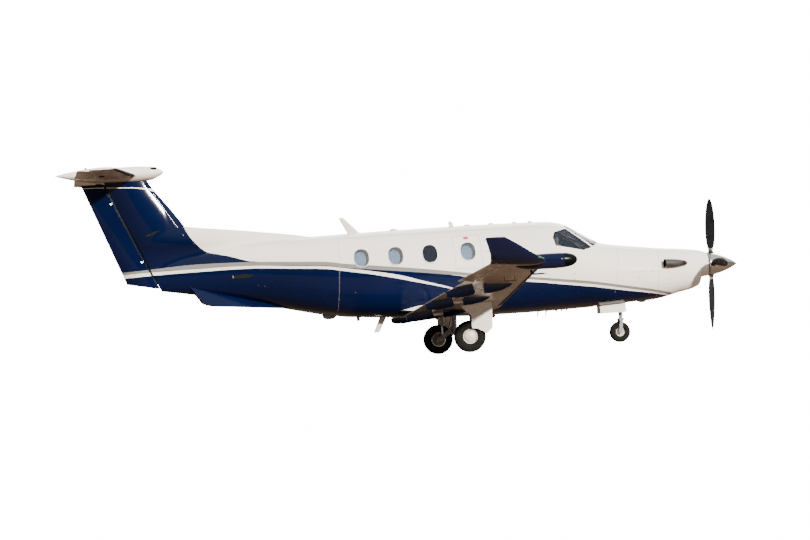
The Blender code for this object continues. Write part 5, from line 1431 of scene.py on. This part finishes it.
def addCowlingParts():
    latches, lip, vents = bmesh.new(), bmesh.new(), bmesh.new()
    firstX, pitch, count, ventZ = cowling["louvres"]
    for side in (port, starboard):
        for x, z, long, high in cowling["latches"]:
            pad(onSkin(x, z, side)[0], (long, 0.004, high), 3.0, latches, 3)
        for k in range(count):
            spot, _ = onSkin(firstX + pitch * k, ventZ, side)
            cushion(spot - Vector((0.012, 0.006, 0.035)), spot + Vector((0.012, 0.005, 0.035)), 3.0,
                    into=vents, cuts=3)
    # Bright lip laid on the nose round the air intake
    level, wide, high = cowling["intake"]
    points = []
    for angle in turns(48):
        y, rise = wide * cos(angle), high * sin(angle)
        spot, _, _, _ = skinTree.ray_cast(Vector((7.5, y * 1.1, level + rise * 1.18)), Vector((-1, 0, 0)))
        points.append(Vector((spot.x if spot is not None else 6.46, y * 1.06, level + rise * 1.12)))
    tube(points, 0.009, 10, lip, closed=True)
    addFixed(("cowling_latches", latches, "steel", "grey_metal"),
             ("air_intake_lip", lip, "polished", "polished_metal"),
             ("cowling_louvres", vents, "white", "white_paint"))


addPropeller()
addExhausts()
addCowlingParts()
print("propeller and engine parts made")

# Landing gear: centres, radii and widths in metres
gear = {
    "main": (1.05, 2.265, 0.326, 0.215, 0.15), "nose": (4.65, 0.0, 0.2225, 0.155, 0.095), "legY": 2.04,
    "pivot": (1.39, 0.56), "strutFoot": (1.13, 0.41), "axle": 0.03, "noseAxle": 0.0195,
    "grooves": (-0.6, -0.22, 0.22, 0.6), "grooveDepth": 0.007, "doorY": 2.396,
    # Bright rings on the disc as shares of the rim, calipers by their angle, collars by their height
    "discRings": (0.55, 0.7, 0.84), "calipers": (65.0, 100.0), "collars": (0.47, 0.66, 0.8, 0.93),
    "noseLeg": 4.69, "taxiLamps": (4.775, 0.075, 0.8),
}


def tyreProfile(radius, width, rim):
    # Closed section of a tyre with a rounded crown, grooves round the tread and beads at the rim
    half = width / 2.0
    tall = radius - rim
    depth = gear["grooveDepth"]
    flank = [(-0.52, 0.0), (-0.6, 0.03), (-0.8, 0.06), (-0.955, 0.16), (-0.995, 0.3), (-1.0, 0.44),
             (-0.985, 0.58), (-0.93, 0.72), (-0.84, 0.84), (-0.74, 0.915), (-0.66, 0.955)]
    profile = [(x * half, rim + h * tall) for x, h in flank]
    for mark in gear["grooves"]:
        for offset, sink in ((-0.05, 0.0), (-0.035, depth), (0.035, depth), (0.05, 0.0)):
            x = mark * 0.8 + offset
            profile.append((x * half, rim + tall * (1.0 - 0.055 * abs(x / 0.66) ** 2.4) - sink))
    return profile + [(-x * half, rim + h * tall) for x, h in reversed(flank)]


def addWheel(name, centre, radius, width, rim, axle, domeSide):
    # Tyre, hub, bolts and flanges; a main wheel has a dome on its outer side, the nose wheel a cap on each
    centre = Vector(centre)
    half = width / 2.0
    tyre = spun(tyreProfile(radius, width, rim), centre, (0, 1, 0), 96, solid=False)
    addPiece(name + "_tyre_tread", tyre, name, "tyre", (name + "_tyre",), angle=50.0)
    flank = [(half * 0.62, axle), (half * 0.62, rim * 0.34), (half * 0.42, rim * 0.5),
             (half * 0.4, rim * 0.8),
             (half * 0.66, rim * 0.93), (half * 0.68, rim * 1.035), (half * 0.6, rim * 1.045),
             (half * 0.52, rim - 0.0005)]
    hub = spun([(-along, girth) for along, girth in flank] + flank[::-1], centre, (0, 1, 0), 72, solid=False)
    addPiece(name + "_hub_casting", hub, name, "rim", (name + "_hub",), angle=40.0)
    caps, ring = bmesh.new(), bmesh.new()
    if domeSide:
        spun(((half * 0.36, rim * 0.8), (half * 0.6, rim * 0.8), (half * 0.7, rim * 0.74),
              (half * 0.86, rim * 0.52),
              (half * 0.94, rim * 0.26), (half * 0.965, 0.003)), centre, (0, domeSide, 0), 72, caps)
        addPiece(name + "_dome", caps, name, "rim")
        addBolts(name, centre, rim * 0.87, half * 0.655, 10)
    else:
        for way in (1, -1):
            spun(((half * 0.4, rim * 0.36), (half * 0.72, rim * 0.34), (half * 0.8, rim * 0.24),
                  (half * 0.8, 0.003)), centre, (0, way, 0), 40, caps)
        addPiece(name + "_caps", caps, name, "rim")
        addBolts(name, centre, rim * 0.64, half * 0.42, 8)
    for way in (1, -1):
        spun(((half * 0.6, rim * 0.99), (half * 0.66, rim * 1.045), (half * 0.7, rim * 1.045),
              (half * 0.71, rim * 0.985),
              (half * 0.6, rim * 0.99)), centre, (0, way, 0), 72, ring, solid=False)
    addPiece(name + "_flange", ring, name, "chrome")


def addBolts(name, centre, radius, push, count):
    shape = bmesh.new()
    for way in (1, -1):
        for angle in turns(count):
            spot = centre + Vector((radius * cos(angle), way * (push - 0.012), radius * sin(angle)))
            spun(((0.0, 0.0075), (0.018, 0.0075), (0.021, 0.005)), spot, (0, way, 0), 6, shape)
    addPiece(name + "_bolts", shape, name, "steel", angle=30.0)


def addBrake(label, side):
    x, y, radius, width, rim = gear["main"]
    inner = y - width / 2.0
    discs, calipers = bmesh.new(), bmesh.new()
    centre = (x, side * (inner + 0.03), radius)
    spun(((0.0, 0.055), (0.0, rim * 0.92), (0.014, rim * 0.92), (0.014, 0.055)), centre, (0, side, 0), 64,
         discs, False)
    for share in gear["discRings"]:
        near, far = rim * share, rim * (share + 0.03)
        spun(((-0.002, near), (-0.002, far), (0.001, far), (0.001, near)), centre, (0, side, 0), 48, discs,
             False)
    addPiece("brake_disc_" + label, discs, "main_wheel_" + label, "disc")
    for angle in gear["calipers"]:
        a = radians(angle)
        spot = Vector((x + 0.105 * cos(a), side * (inner + 0.005), radius + 0.105 * sin(a)))
        pad(spot, (0.034, 0.022, 0.026), 4.0, calipers, 4)
    addPiece("brake_calipers_" + label, calipers, "airframe", "casting")


def addLegParts(label, side):
    # Bright piston, brake hoses down the leg, and collars round its joints
    x, y, radius, width, _ = gear["main"]
    half = width / 2.0
    legY = side * gear["legY"]
    pivotX, pivotZ = gear["pivot"]
    footX, footZ = gear["strutFoot"]
    hoses, collars = bmesh.new(), bmesh.new()
    piston = rod((footX, legY, footZ + 0.02), (footX - 0.006, legY, footZ + 0.2), 0.0235, count=24)
    addPiece("strut_piston_" + label, piston, "airframe", "chrome")
    path = [(pivotX - 0.03, legY + side * 0.05, 0.98), (pivotX - 0.06, legY + side * 0.062, 0.8),
            (pivotX - 0.09, legY + side * 0.06, 0.62), (pivotX - 0.16, legY + side * 0.072, 0.52),
            (x + 0.1, legY + side * 0.085, 0.46), (x + 0.06, side * (y - half - 0.01), 0.43)]
    tube(path, 0.0075, 10, hoses)
    path = [(pivotX + 0.046, legY, 0.96), (pivotX + 0.05, legY + side * 0.008, 0.75),
            (pivotX + 0.048, legY, 0.6)]
    tube(path, 0.005, 8, hoses)
    addPiece("brake_hoses_" + label, hoses, "airframe", "hose")
    for z in gear["collars"]:
        spun(((-0.014, 0.0455), (-0.01, 0.052), (0.01, 0.052), (0.014, 0.0455)), (pivotX, legY, z),
             (0, 0, 1), 32, collars)
    spun(((-0.055, 0.034), (-0.05, 0.04), (0.062, 0.04), (0.067, 0.034)),
         (pivotX, legY + side * 0.03, pivotZ), (0, side, 0), 32, collars)
    spun(((0.0, 0.022), (0.008, 0.026), (0.02, 0.026), (0.026, 0.018)),
         (x, side * (y + half * 0.62), radius), (0, side, 0), 24, collars)
    addPiece("leg_collars_" + label, collars, "airframe", "casting")


def addDoorStiffeners(label, side):
    # Two upright ribs and a level one on the gear door, as low x and z, high x and z, and outward reach
    ribs = bmesh.new()
    y = side * gear["doorY"]
    for x0, z0, x1, z1, reach in ((1.448, 0.52, 1.472, 0.95, 0.01), (1.188, 0.6, 1.212, 0.93, 0.01),
                                  (1.12, 0.7, 1.48, 0.725, 0.009)):
        slab((x0, y - reach, z0), (x1, y + 0.008, z1), ribs, 0.003)
    addPiece("door_stiffeners_" + label, ribs, "airframe", "white")


def addMainGear():
    x, y, radius, width, rim = gear["main"]
    for label, side in sides:
        addWheel("main_wheel_" + label, (x, side * y, radius), radius, width, rim, gear["axle"], side)
        addBrake(label, side)
        addLegParts(label, side)
        addDoorStiffeners(label, side)


def addNoseGear():
    x, y, radius, width, rim = gear["nose"]
    addWheel("nose_wheel", (x, y, radius), radius, width, rim, gear["noseAxle"], 0)
    links, lamps, glasses = bmesh.new(), bmesh.new(), bmesh.new()
    for z0, z1 in ((0.965, 0.83), (0.83, 0.7)):
        tube([(4.745, 0.0, z0), (4.8, 0.0, (z0 + z1) / 2.0 + 0.02), (4.745, 0.0, z1)], 0.01, 10, links)
    for z in (0.7, 0.9):
        spun(((-0.012, 0.053), (-0.008, 0.06), (0.012, 0.06), (0.016, 0.053)), (gear["noseLeg"], 0.0, z),
             (0, 0, 1), 32, links)
    x, y, z = gear["taxiLamps"]
    for side in (port, starboard):
        centre = (x, side * y, z)
        spun(((-0.055, 0.01), (-0.045, 0.036), (0.0, 0.052), (0.006, 0.052), (0.006, 0.046)), centre,
             (1, 0, 0), 32, lamps)
        spun(((0.004, 0.045), (0.01, 0.04), (0.013, 0.003)), centre, (1, 0, 0), 32, glasses)
        rod((x - 0.035, side * 0.03, z), (x - 0.03, side * y, z), 0.012, into=links)
    addFixed(("nose_leg_links", links, "casting", "grey_metal"), ("taxi_lamps", lamps, "dark", "dark_trim"),
             ("taxi_lamp_glasses", glasses, "clear", "cabin_glass"))


addMainGear()
addNoseGear()
print("landing gear made")

# Antennas, lamps and small fittings on the roof and belly: x, y, half length, half width, height
fittings = {
    "roofDomes": ((-0.08, 0.0, 0.085, 0.05, 0.036), (1.5, 0.0, 0.065, 0.04, 0.028),
                  (2.02, 0.0, 0.06, 0.035, 0.03), (2.52, 0.0, 0.05, 0.03, 0.03),
                  (2.86, 0.0, 0.05, 0.032, 0.032)),
    "roofStub": (1.17, 0.05, 0.095), "bellyDome": (-1.56, 0.0, 0.15, 0.085, 0.085),
    "bellyPeg": (-0.95, 0.035, 0.075),
    "belly": ((4.22, 0.0, 0.075, 0.045, 0.022), (5.18, 0.0, 0.075, 0.05, 0.024),
              (3.3, 0.0, 0.035, 0.02, 0.02)),
    "bellyWires": (2.91, 3.09), "bellySensors": (3.42, 3.52), "bellyBeacon": 1.94,
    # Blade antennas as (x, z): front foot, front top, back top, back foot
    "blades": (("dorsal_antenna", ((-0.727, 2.6), (-1.13, 3.015), (-1.235, 3.015), (-1.024, 2.6))),
               ("belly_antenna", ((-0.3, 0.95), (-0.52, 0.55), (-0.64, 0.55), (-0.46, 0.95)))),
    # On the sides as (x, z): the inlet's middle and half sizes, rods of its lip, static ports, the hatch mark
    "inlet": (-3.355, 1.9, 0.2, 0.04), "lipRods": (-3.565, -3.55),
    "ports": ((-3.051, 1.684), (-2.923, 1.659), (-1.06, 1.4), (3.6, 1.5), (3.6, 1.38)),
    "mark": ((1.307, 2.382), (1.407, 2.382), (1.407, 2.424), (1.307, 2.424)),
}


def flatRing(centre, length, width):
    # Level oval about a centre
    return [centre + Vector((length * cos(a), width * sin(a), 0.0)) for a in turns(24)]


def addRoofParts():
    domes, stub = bmesh.new(), bmesh.new()
    for x, y, length, width, height in fittings["roofDomes"]:
        pad(underSkin(x, y, True), (length, width, height), 2.3, domes)
    x, length, height = fittings["roofStub"]
    foot = underSkin(x, 0.0, True)
    rings = []
    for share, size in ((0.0, 1.0), (0.5, 0.875), (0.85, 0.7875), (1.0, 0.5)):
        centre = foot + Vector((-0.03 * share, 0.0, height * share * 1.25 - 0.01))
        rings.append(flatRing(centre, length * 1.1 * size, 0.014 * size))
    loft(rings, into=stub)
    addFixed(("roof_domes", domes, "ivory", "white_paint"),
             ("roof_stub_antenna", stub, "ivory", "white_paint"))


def addBladeAntennas():
    # Rounded sections that stand for the CAD plates
    for name, outline in fittings["blades"]:
        (frontX, rootZ), (topX, topZ), (backTopX, _), (backX, _) = outline
        rings = []
        for share in (0.0, 0.25, 0.5, 0.75, 0.93, 0.98, 1.0):
            z = between(rootZ, topZ, share)
            ahead, behind = between(frontX, topX, share), between(backX, backTopX, share)
            slim = 0.0125 * (1.0 - 0.35 * share) * (1.0 if share < 0.99 else 0.6)
            middle, half = (ahead + behind) / 2.0, (ahead - behind) / 2.0
            rings.append([Vector((middle + half * cos(a), slim * sin(a), z)) for a in turns(32)])
        addPiece(name + "_blade", loft(rings), "airframe", "ivory", (name,))


def addBellyParts():
    # Dome and peg, dark drains, and pale wire stubs and sensors
    dome, drains, sensors = bmesh.new(), bmesh.new(), bmesh.new()
    x, y, length, width, height = fittings["bellyDome"]
    pad(underSkin(x, y), (length, width, height), 2.2, dome)
    x, radius, height = fittings["bellyPeg"]
    spun(((-0.01, radius), (height * 0.7, radius), (height, radius * 0.8), (height * 1.05, radius * 0.4)),
         underSkin(x, 0.0), (0, 0, -1), 24, dome)
    for x, y, length, width, height in fittings["belly"]:
        pad(underSkin(x, y), (length, width, height), 2.5, drains)
    for x in fittings["bellyWires"]:
        foot = underSkin(x, 0.0)
        rod(foot + Vector((0, 0, 0.01)), foot + Vector((-0.03, 0, -0.11)), 0.017, 0.01, 12, sensors)
    for x in fittings["bellySensors"]:
        foot = underSkin(x, 0.0)
        cushion(foot - Vector((0.02, 0.012, 0.03)), foot + Vector((0.02, 0.012, 0.02)), 2.5, into=sensors,
                cuts=3)
    addFixed(("belly_dome", dome, "casting", "grey_metal"), ("belly_drains", drains, "dark", "dark_trim"),
             ("belly_sensors", sensors, "ivory", "white_paint"))


def addBeacons():
    # Red glass that stands for the CAD lamps
    x, y, z = tail["beacon"]
    glass = spun(((-0.03, 0.0345), (0.028, 0.0345), (0.044, 0.03), (0.056, 0.018), (0.06, 0.004)),
                 (x, y, z), (0, 0, 1))
    addPiece("tail_beacon_glass", glass, "airframe", "red", ("tail_beacon",))
    x = fittings["bellyBeacon"]
    foot = (x, 0.0, curveAt(fuselage["bottom"], x) + 0.03)
    glass = spun(((0.0, 0.0455), (0.05, 0.0455), (0.075, 0.036), (0.092, 0.02), (0.099, 0.004)), foot,
                 (0, 0, -1))
    addPiece("belly_beacon_glass", glass, "airframe", "red", ("belly_beacon",))


def addSideParts():
    # Inlet low on the tail as a black patch of painted shadow, static ports, and a red mark over the hatch
    inlets, lips, marks, ports = bmesh.new(), bmesh.new(), bmesh.new(), bmesh.new()
    x, z, length, height = fittings["inlet"]
    for side in (port, starboard):
        patch([onSkin(x + length * cos(a), z + height * sin(a), side) for a in turns(32)], (-0.001, 0.0025),
              inlets)
        for rodX in fittings["lipRods"]:
            low, normal = onSkin(rodX, 1.87, side)
            high, _ = onSkin(rodX - 0.01, 1.925, side)
            rod(low + normal * 0.004, high + normal * 0.004, 0.007, into=lips)
        for portX, portZ in fittings["ports"]:
            spot, normal = onSkin(portX, portZ, side)
            spun(((-0.003, 0.014), (0.002, 0.014), (0.003, 0.01)), spot, normal, 20, ports)
    patch([onSkin(markX, markZ, starboard) for markX, markZ in fittings["mark"]], (-0.001, 0.0015), marks)
    addFixed(("tail_inlet_shadows", inlets, "sootAndShadow", "dark_trim"), ("tail_inlet_lips", lips, "steel", "grey_metal"),
             ("static_ports", ports, "steel", "grey_metal"), ("hatch_mark", marks, "redMark", "red_lens"))


addRoofParts()
addBladeAntennas()
addBellyParts()
addBeacons()
addSideParts()
print("antennas and fittings made")

# Cabin: two columns of seats on their panels, and the airstair's treads
cabin = {
    "floor": 1.18, "rows": (-0.62, 0.12, 0.86, 1.6), "seatY": 0.4, "halfWidth": 0.185,
    "panel": (-0.78, 1.98, 0.205, 0.6, 0.012), "lean": -8.0, "airstair": (2.17, 2.78),
    "treads": (1.34, 1.6, 1.86, 2.12),
}


def addSeats():
    floor, half, lean = cabin["floor"], cabin["halfWidth"], cabin["lean"]
    x0, x1, y0, y1, thick = cabin["panel"]
    for label, side in sides:
        pads, frames = bmesh.new(), bmesh.new()
        y = side * cabin["seatY"]
        for x in cabin["rows"]:
            cushion((x + 0.03, y - half, floor + 0.3), (x + 0.47, y + half, floor + 0.445), into=pads)
            cushion((x - 0.01, y - half, floor + 0.42), (x + 0.13, y + half, floor + 0.9), lean=lean,
                    into=pads)
            cushion((x - 0.065, y - half * 0.7, floor + 0.86), (x + 0.035, y + half * 0.7, floor + 1.02),
                    lean=lean, into=pads)
            slab((x + 0.08, y - half * 0.8, floor + 0.012), (x + 0.39, y + half * 0.8, floor + 0.32),
                 frames, 0.012)
            for edgeY in (y - half - 0.002, y + half - 0.022):
                slab((x + 0.04, edgeY, floor + 0.5), (x + 0.4, edgeY + 0.024, floor + 0.545), frames, 0.008)
                slab((x + 0.3, edgeY + 0.004, floor + 0.33), (x + 0.33, edgeY + 0.02, floor + 0.51),
                     frames, 0.004)
        low, high = sorted((side * y0, side * y1))
        slab((x0, low, floor + 0.0004), (x1, high, floor + thick), frames, 0.003)
        name = "cabin_seats_" + label
        addPiece("seat_cushions_" + label, pads, "airframe", "leather", (name,))
        addPiece("seat_frames_" + label, frames, "airframe", "plastic")


def addAirstair():
    # Treads on brackets, each with gripping strips, on the inner face of the door that drops to the ground
    treads, grips = bmesh.new(), bmesh.new()
    x0, x1 = cabin["airstair"]
    for z in cabin["treads"]:
        y = hullSide((x0 + x1) / 2.0, z, port, 0.074).y
        slab((x0 + 0.07, y - 0.11, z), (x1 - 0.07, y + 0.004, z + 0.022), treads, 0.005)
        for x in (x0 + 0.075, x1 - 0.105):
            slab((x, y - 0.1, z - 0.05), (x + 0.03, y + 0.004, z + 0.004), treads, 0.004)
        for k in range(7):
            low = y - 0.1 + 0.013 * k
            slab((x0 + 0.1, low, z + 0.0215), (x1 - 0.1, low + 0.005, z + 0.0235), grips)
    addPiece("airstair_treads", treads, "airstair_door", "steel")
    addPiece("airstair_grips", grips, "airstair_door", "tyre")


addSeats()
addAirstair()
print("cabin made")

# Fastener heads along the skin joints, set by a Geometry Nodes tree
fasteners = {"diameter": 0.0095, "height": 0.0009, "spacing": 0.055, "offset": 0.018}


def fastenerTree():
    tree = bpy.data.node_groups.new("fastener row", "GeometryNodeTree")
    tree.interface.new_socket("Geometry", in_out="INPUT", socket_type="NodeSocketGeometry")
    sizes = {}
    for name, key in (("Head diameter", "diameter"), ("Head height", "height")):
        socket = tree.interface.new_socket(name, in_out="INPUT", socket_type="NodeSocketFloat")
        socket.default_value = fasteners[key]
        sizes[name] = socket.identifier
    tree.interface.new_socket("Geometry", in_out="OUTPUT", socket_type="NodeSocketGeometry")
    start = addNode(tree, "NodeGroupInput")
    end = addNode(tree, "NodeGroupOutput")
    half = addNode(tree, "ShaderNodeMath", {"operation": "MULTIPLY"},
                   {0: start.outputs["Head diameter"], 1: 0.5})
    head = addNode(tree, "GeometryNodeMeshCylinder", {"fill_type": "NGON"},
                   {"Vertices": 12, "Radius": half.outputs[0], "Depth": start.outputs["Head height"]})
    normal = addNode(tree, "GeometryNodeInputNamedAttribute", {"data_type": "FLOAT_VECTOR"},
                     {"Name": "facing"})
    turn = addNode(tree, "FunctionNodeAlignRotationToVector", {"axis": "Z"},
                   {"Vector": normal.outputs["Attribute"]})
    points = addNode(tree, "GeometryNodeMeshToPoints", None, {"Mesh": start.outputs["Geometry"]})
    placed = addNode(tree, "GeometryNodeInstanceOnPoints", None,
                     {"Points": points.outputs[0], "Instance": head.outputs[0], "Rotation": turn.outputs[0]})
    real = addNode(tree, "GeometryNodeRealizeInstances", None, {"Geometry": placed.outputs[0]})
    painted = addNode(tree, "GeometryNodeSetMaterial", None,
                      {"Geometry": real.outputs[0], "Material": finishes["steel"]})
    tree.links.new(painted.outputs[0], end.inputs["Geometry"])
    return tree, sizes


def jointSpots():
    # Places and normals along both sides of the upright joints and above the level ones
    spots = []
    offset = fasteners["offset"]
    for startX, lean, low, high in livery["joints"]:
        z = low + 0.06
        while z < high - 0.06:
            for _, side in sides:
                for sign in (1, -1):
                    spots.append(onSkin(startX + lean * (z - 1.5) + sign * offset, z, side))
            z += fasteners["spacing"]
    for level, first, last in livery["ledges"]:
        x = first + 0.05
        while x < last:
            for _, side in sides:
                spots.append(onSkin(x, level + offset, side))
            x += fasteners["spacing"]
    return [(spot, normal) for spot, normal in spots if spot is not None and abs(normal.y) > 0.25]


def addFasteners():
    tree, sizes = fastenerTree()
    spots = jointSpots()
    mesh = bpy.data.meshes.new("fastener places")
    mesh.from_pydata([spot - Vector((middleX, 0.0, 0.0)) for spot, _ in spots], [], [])
    facing = mesh.attributes.new("facing", "FLOAT_VECTOR", "POINT")
    facing.data.foreach_set("vector", [c for _, normal in spots for c in normal])
    carrier = bpy.data.objects.new("fastener places", mesh)
    scene.collection.objects.link(carrier)
    modifier = carrier.modifiers.new("fasteners", "NODES")
    modifier.node_group = tree
    modifier[sizes["Head diameter"]] = fasteners["diameter"]
    modifier[sizes["Head height"]] = fasteners["height"]
    plain = bpy.data.meshes.new_from_object(carrier.evaluated_get(bpy.context.evaluated_depsgraph_get()))
    bpy.data.objects.remove(carrier, do_unlink=True)
    piece = bpy.data.objects.new("skin_fasteners", plain)
    scene.collection.objects.link(piece)
    plain.shade_flat()
    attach(piece, "airframe")
    print("fasteners set,", len(spots))


addFasteners()

for name, material in (
        ("engine_block", "casting"), ("windshield_left", "cockpitGlass"),
        ("windshield_right", "cockpitGlass"),
        ("side_window_left", "cockpitGlass"), ("side_window_right", "cockpitGlass"),
        ("instrument_panel", "plastic"),
        ("main_leg_left", "casting"), ("main_leg_right", "casting"), ("main_door_left", "white"),
        ("main_door_right", "white"),
        ("nose_leg", "casting"), ("nose_fork", "casting"), ("nose_door_left", "white"),
        ("nose_door_right", "white")):
    keep(name, material)


# Pale studio: floor and sky look plain white to the camera, while the aircraft is lit by a key light, a weak
# light from the other side, a bright ceiling and the warm floor
studio = {
    "white": "#ffffff", "whiteLevel": 16.0, "floor": "#6a5644", "floorShade": "#63523f", "floorReach": 900.0,
    "ceiling": "#eef3fb", "ceilingLevel": 1.15, "horizon": "#8b93a0", "horizonLevel": 0.3, "sun": "#fff6ea",
    # Lights: name, level, apparent size and turn in degrees
    "lights": (("key_light", 9.5, 3.0, (71.0, 0.0, 25.0)), ("fill_light", 2.6, 40.0, (58.0, 0.0, 160.0))),
}


def cameraShare(tree):
    # Straight from the camera, and not through a pane
    path = addNode(tree, "ShaderNodeLightPath")
    return calc(tree, "MULTIPLY", path.outputs["Is Camera Ray"],
                calc(tree, "LESS_THAN", path.outputs["Transparent Depth"], 0.5))


def whiteToCamera(tree, kind, plain, output):
    # Puts plain white in place of the shading where the camera looks straight at it
    white = addNode(tree, kind, None, {"Color": linear(studio["white"]), "Strength": studio["whiteLevel"]})
    mixed = addNode(tree, "ShaderNodeMixShader", None, {0: cameraShare(tree), 1: plain, 2: white.outputs[0]})
    tree.links.new(mixed.outputs[0], tree.nodes[output].inputs["Surface"])


def addFloor():
    shape = bmesh.new()
    reach = studio["floorReach"]
    corners = ((-reach, -reach), (reach, -reach), (reach, reach), (-reach, reach))
    shape.faces.new([shape.verts.new((x, y, 0.0)) for x, y in corners])
    finishes["floor"], tree, shader, place = newMaterial("studio floor", Roughness=0.9)
    worn = blendColour(tree, grain(tree, place, 900.0, 3.0), linear(studio["floor"]),
                       linear(studio["floorShade"]))
    tree.links.new(worn, shader.inputs["Base Color"])
    whiteToCamera(tree, "ShaderNodeEmission", shader.outputs[0], "Material Output")
    addPiece("studio_floor", shape, None, "floor", smooth=False)


def addWorld():
    world = bpy.data.worlds.new("studio")
    scene.world = world
    world.use_nodes = True
    tree = world.node_tree
    direction = addNode(tree, "ShaderNodeTexCoord").outputs["Generated"]
    height = addNode(tree, "ShaderNodeSeparateXYZ", None, {0: direction}).outputs[2]
    share = spread(tree, height, 0.02, 0.6, 0.0, 1.0)
    tint = blendColour(tree, share, linear(studio["horizon"]), linear(studio["ceiling"]))
    level = spread(tree, height, 0.02, 0.6, studio["horizonLevel"], studio["ceilingLevel"])
    soft = tree.nodes["Background"]
    tree.links.new(tint, soft.inputs["Color"])
    tree.links.new(level, soft.inputs["Strength"])
    whiteToCamera(tree, "ShaderNodeBackground", soft.outputs[0], "World Output")


def addLights():
    for name, level, angle, turn in studio["lights"]:
        data = bpy.data.lights.new(name, "SUN")
        data.energy, data.angle = level, radians(angle)
        data.color = linear(studio["sun"])[:3]
        lamp = bpy.data.objects.new(name, data)
        lamp.rotation_euler = [radians(a) for a in turn]
        scene.collection.objects.link(lamp)


addFloor()
addWorld()
addLights()
print("studio made")
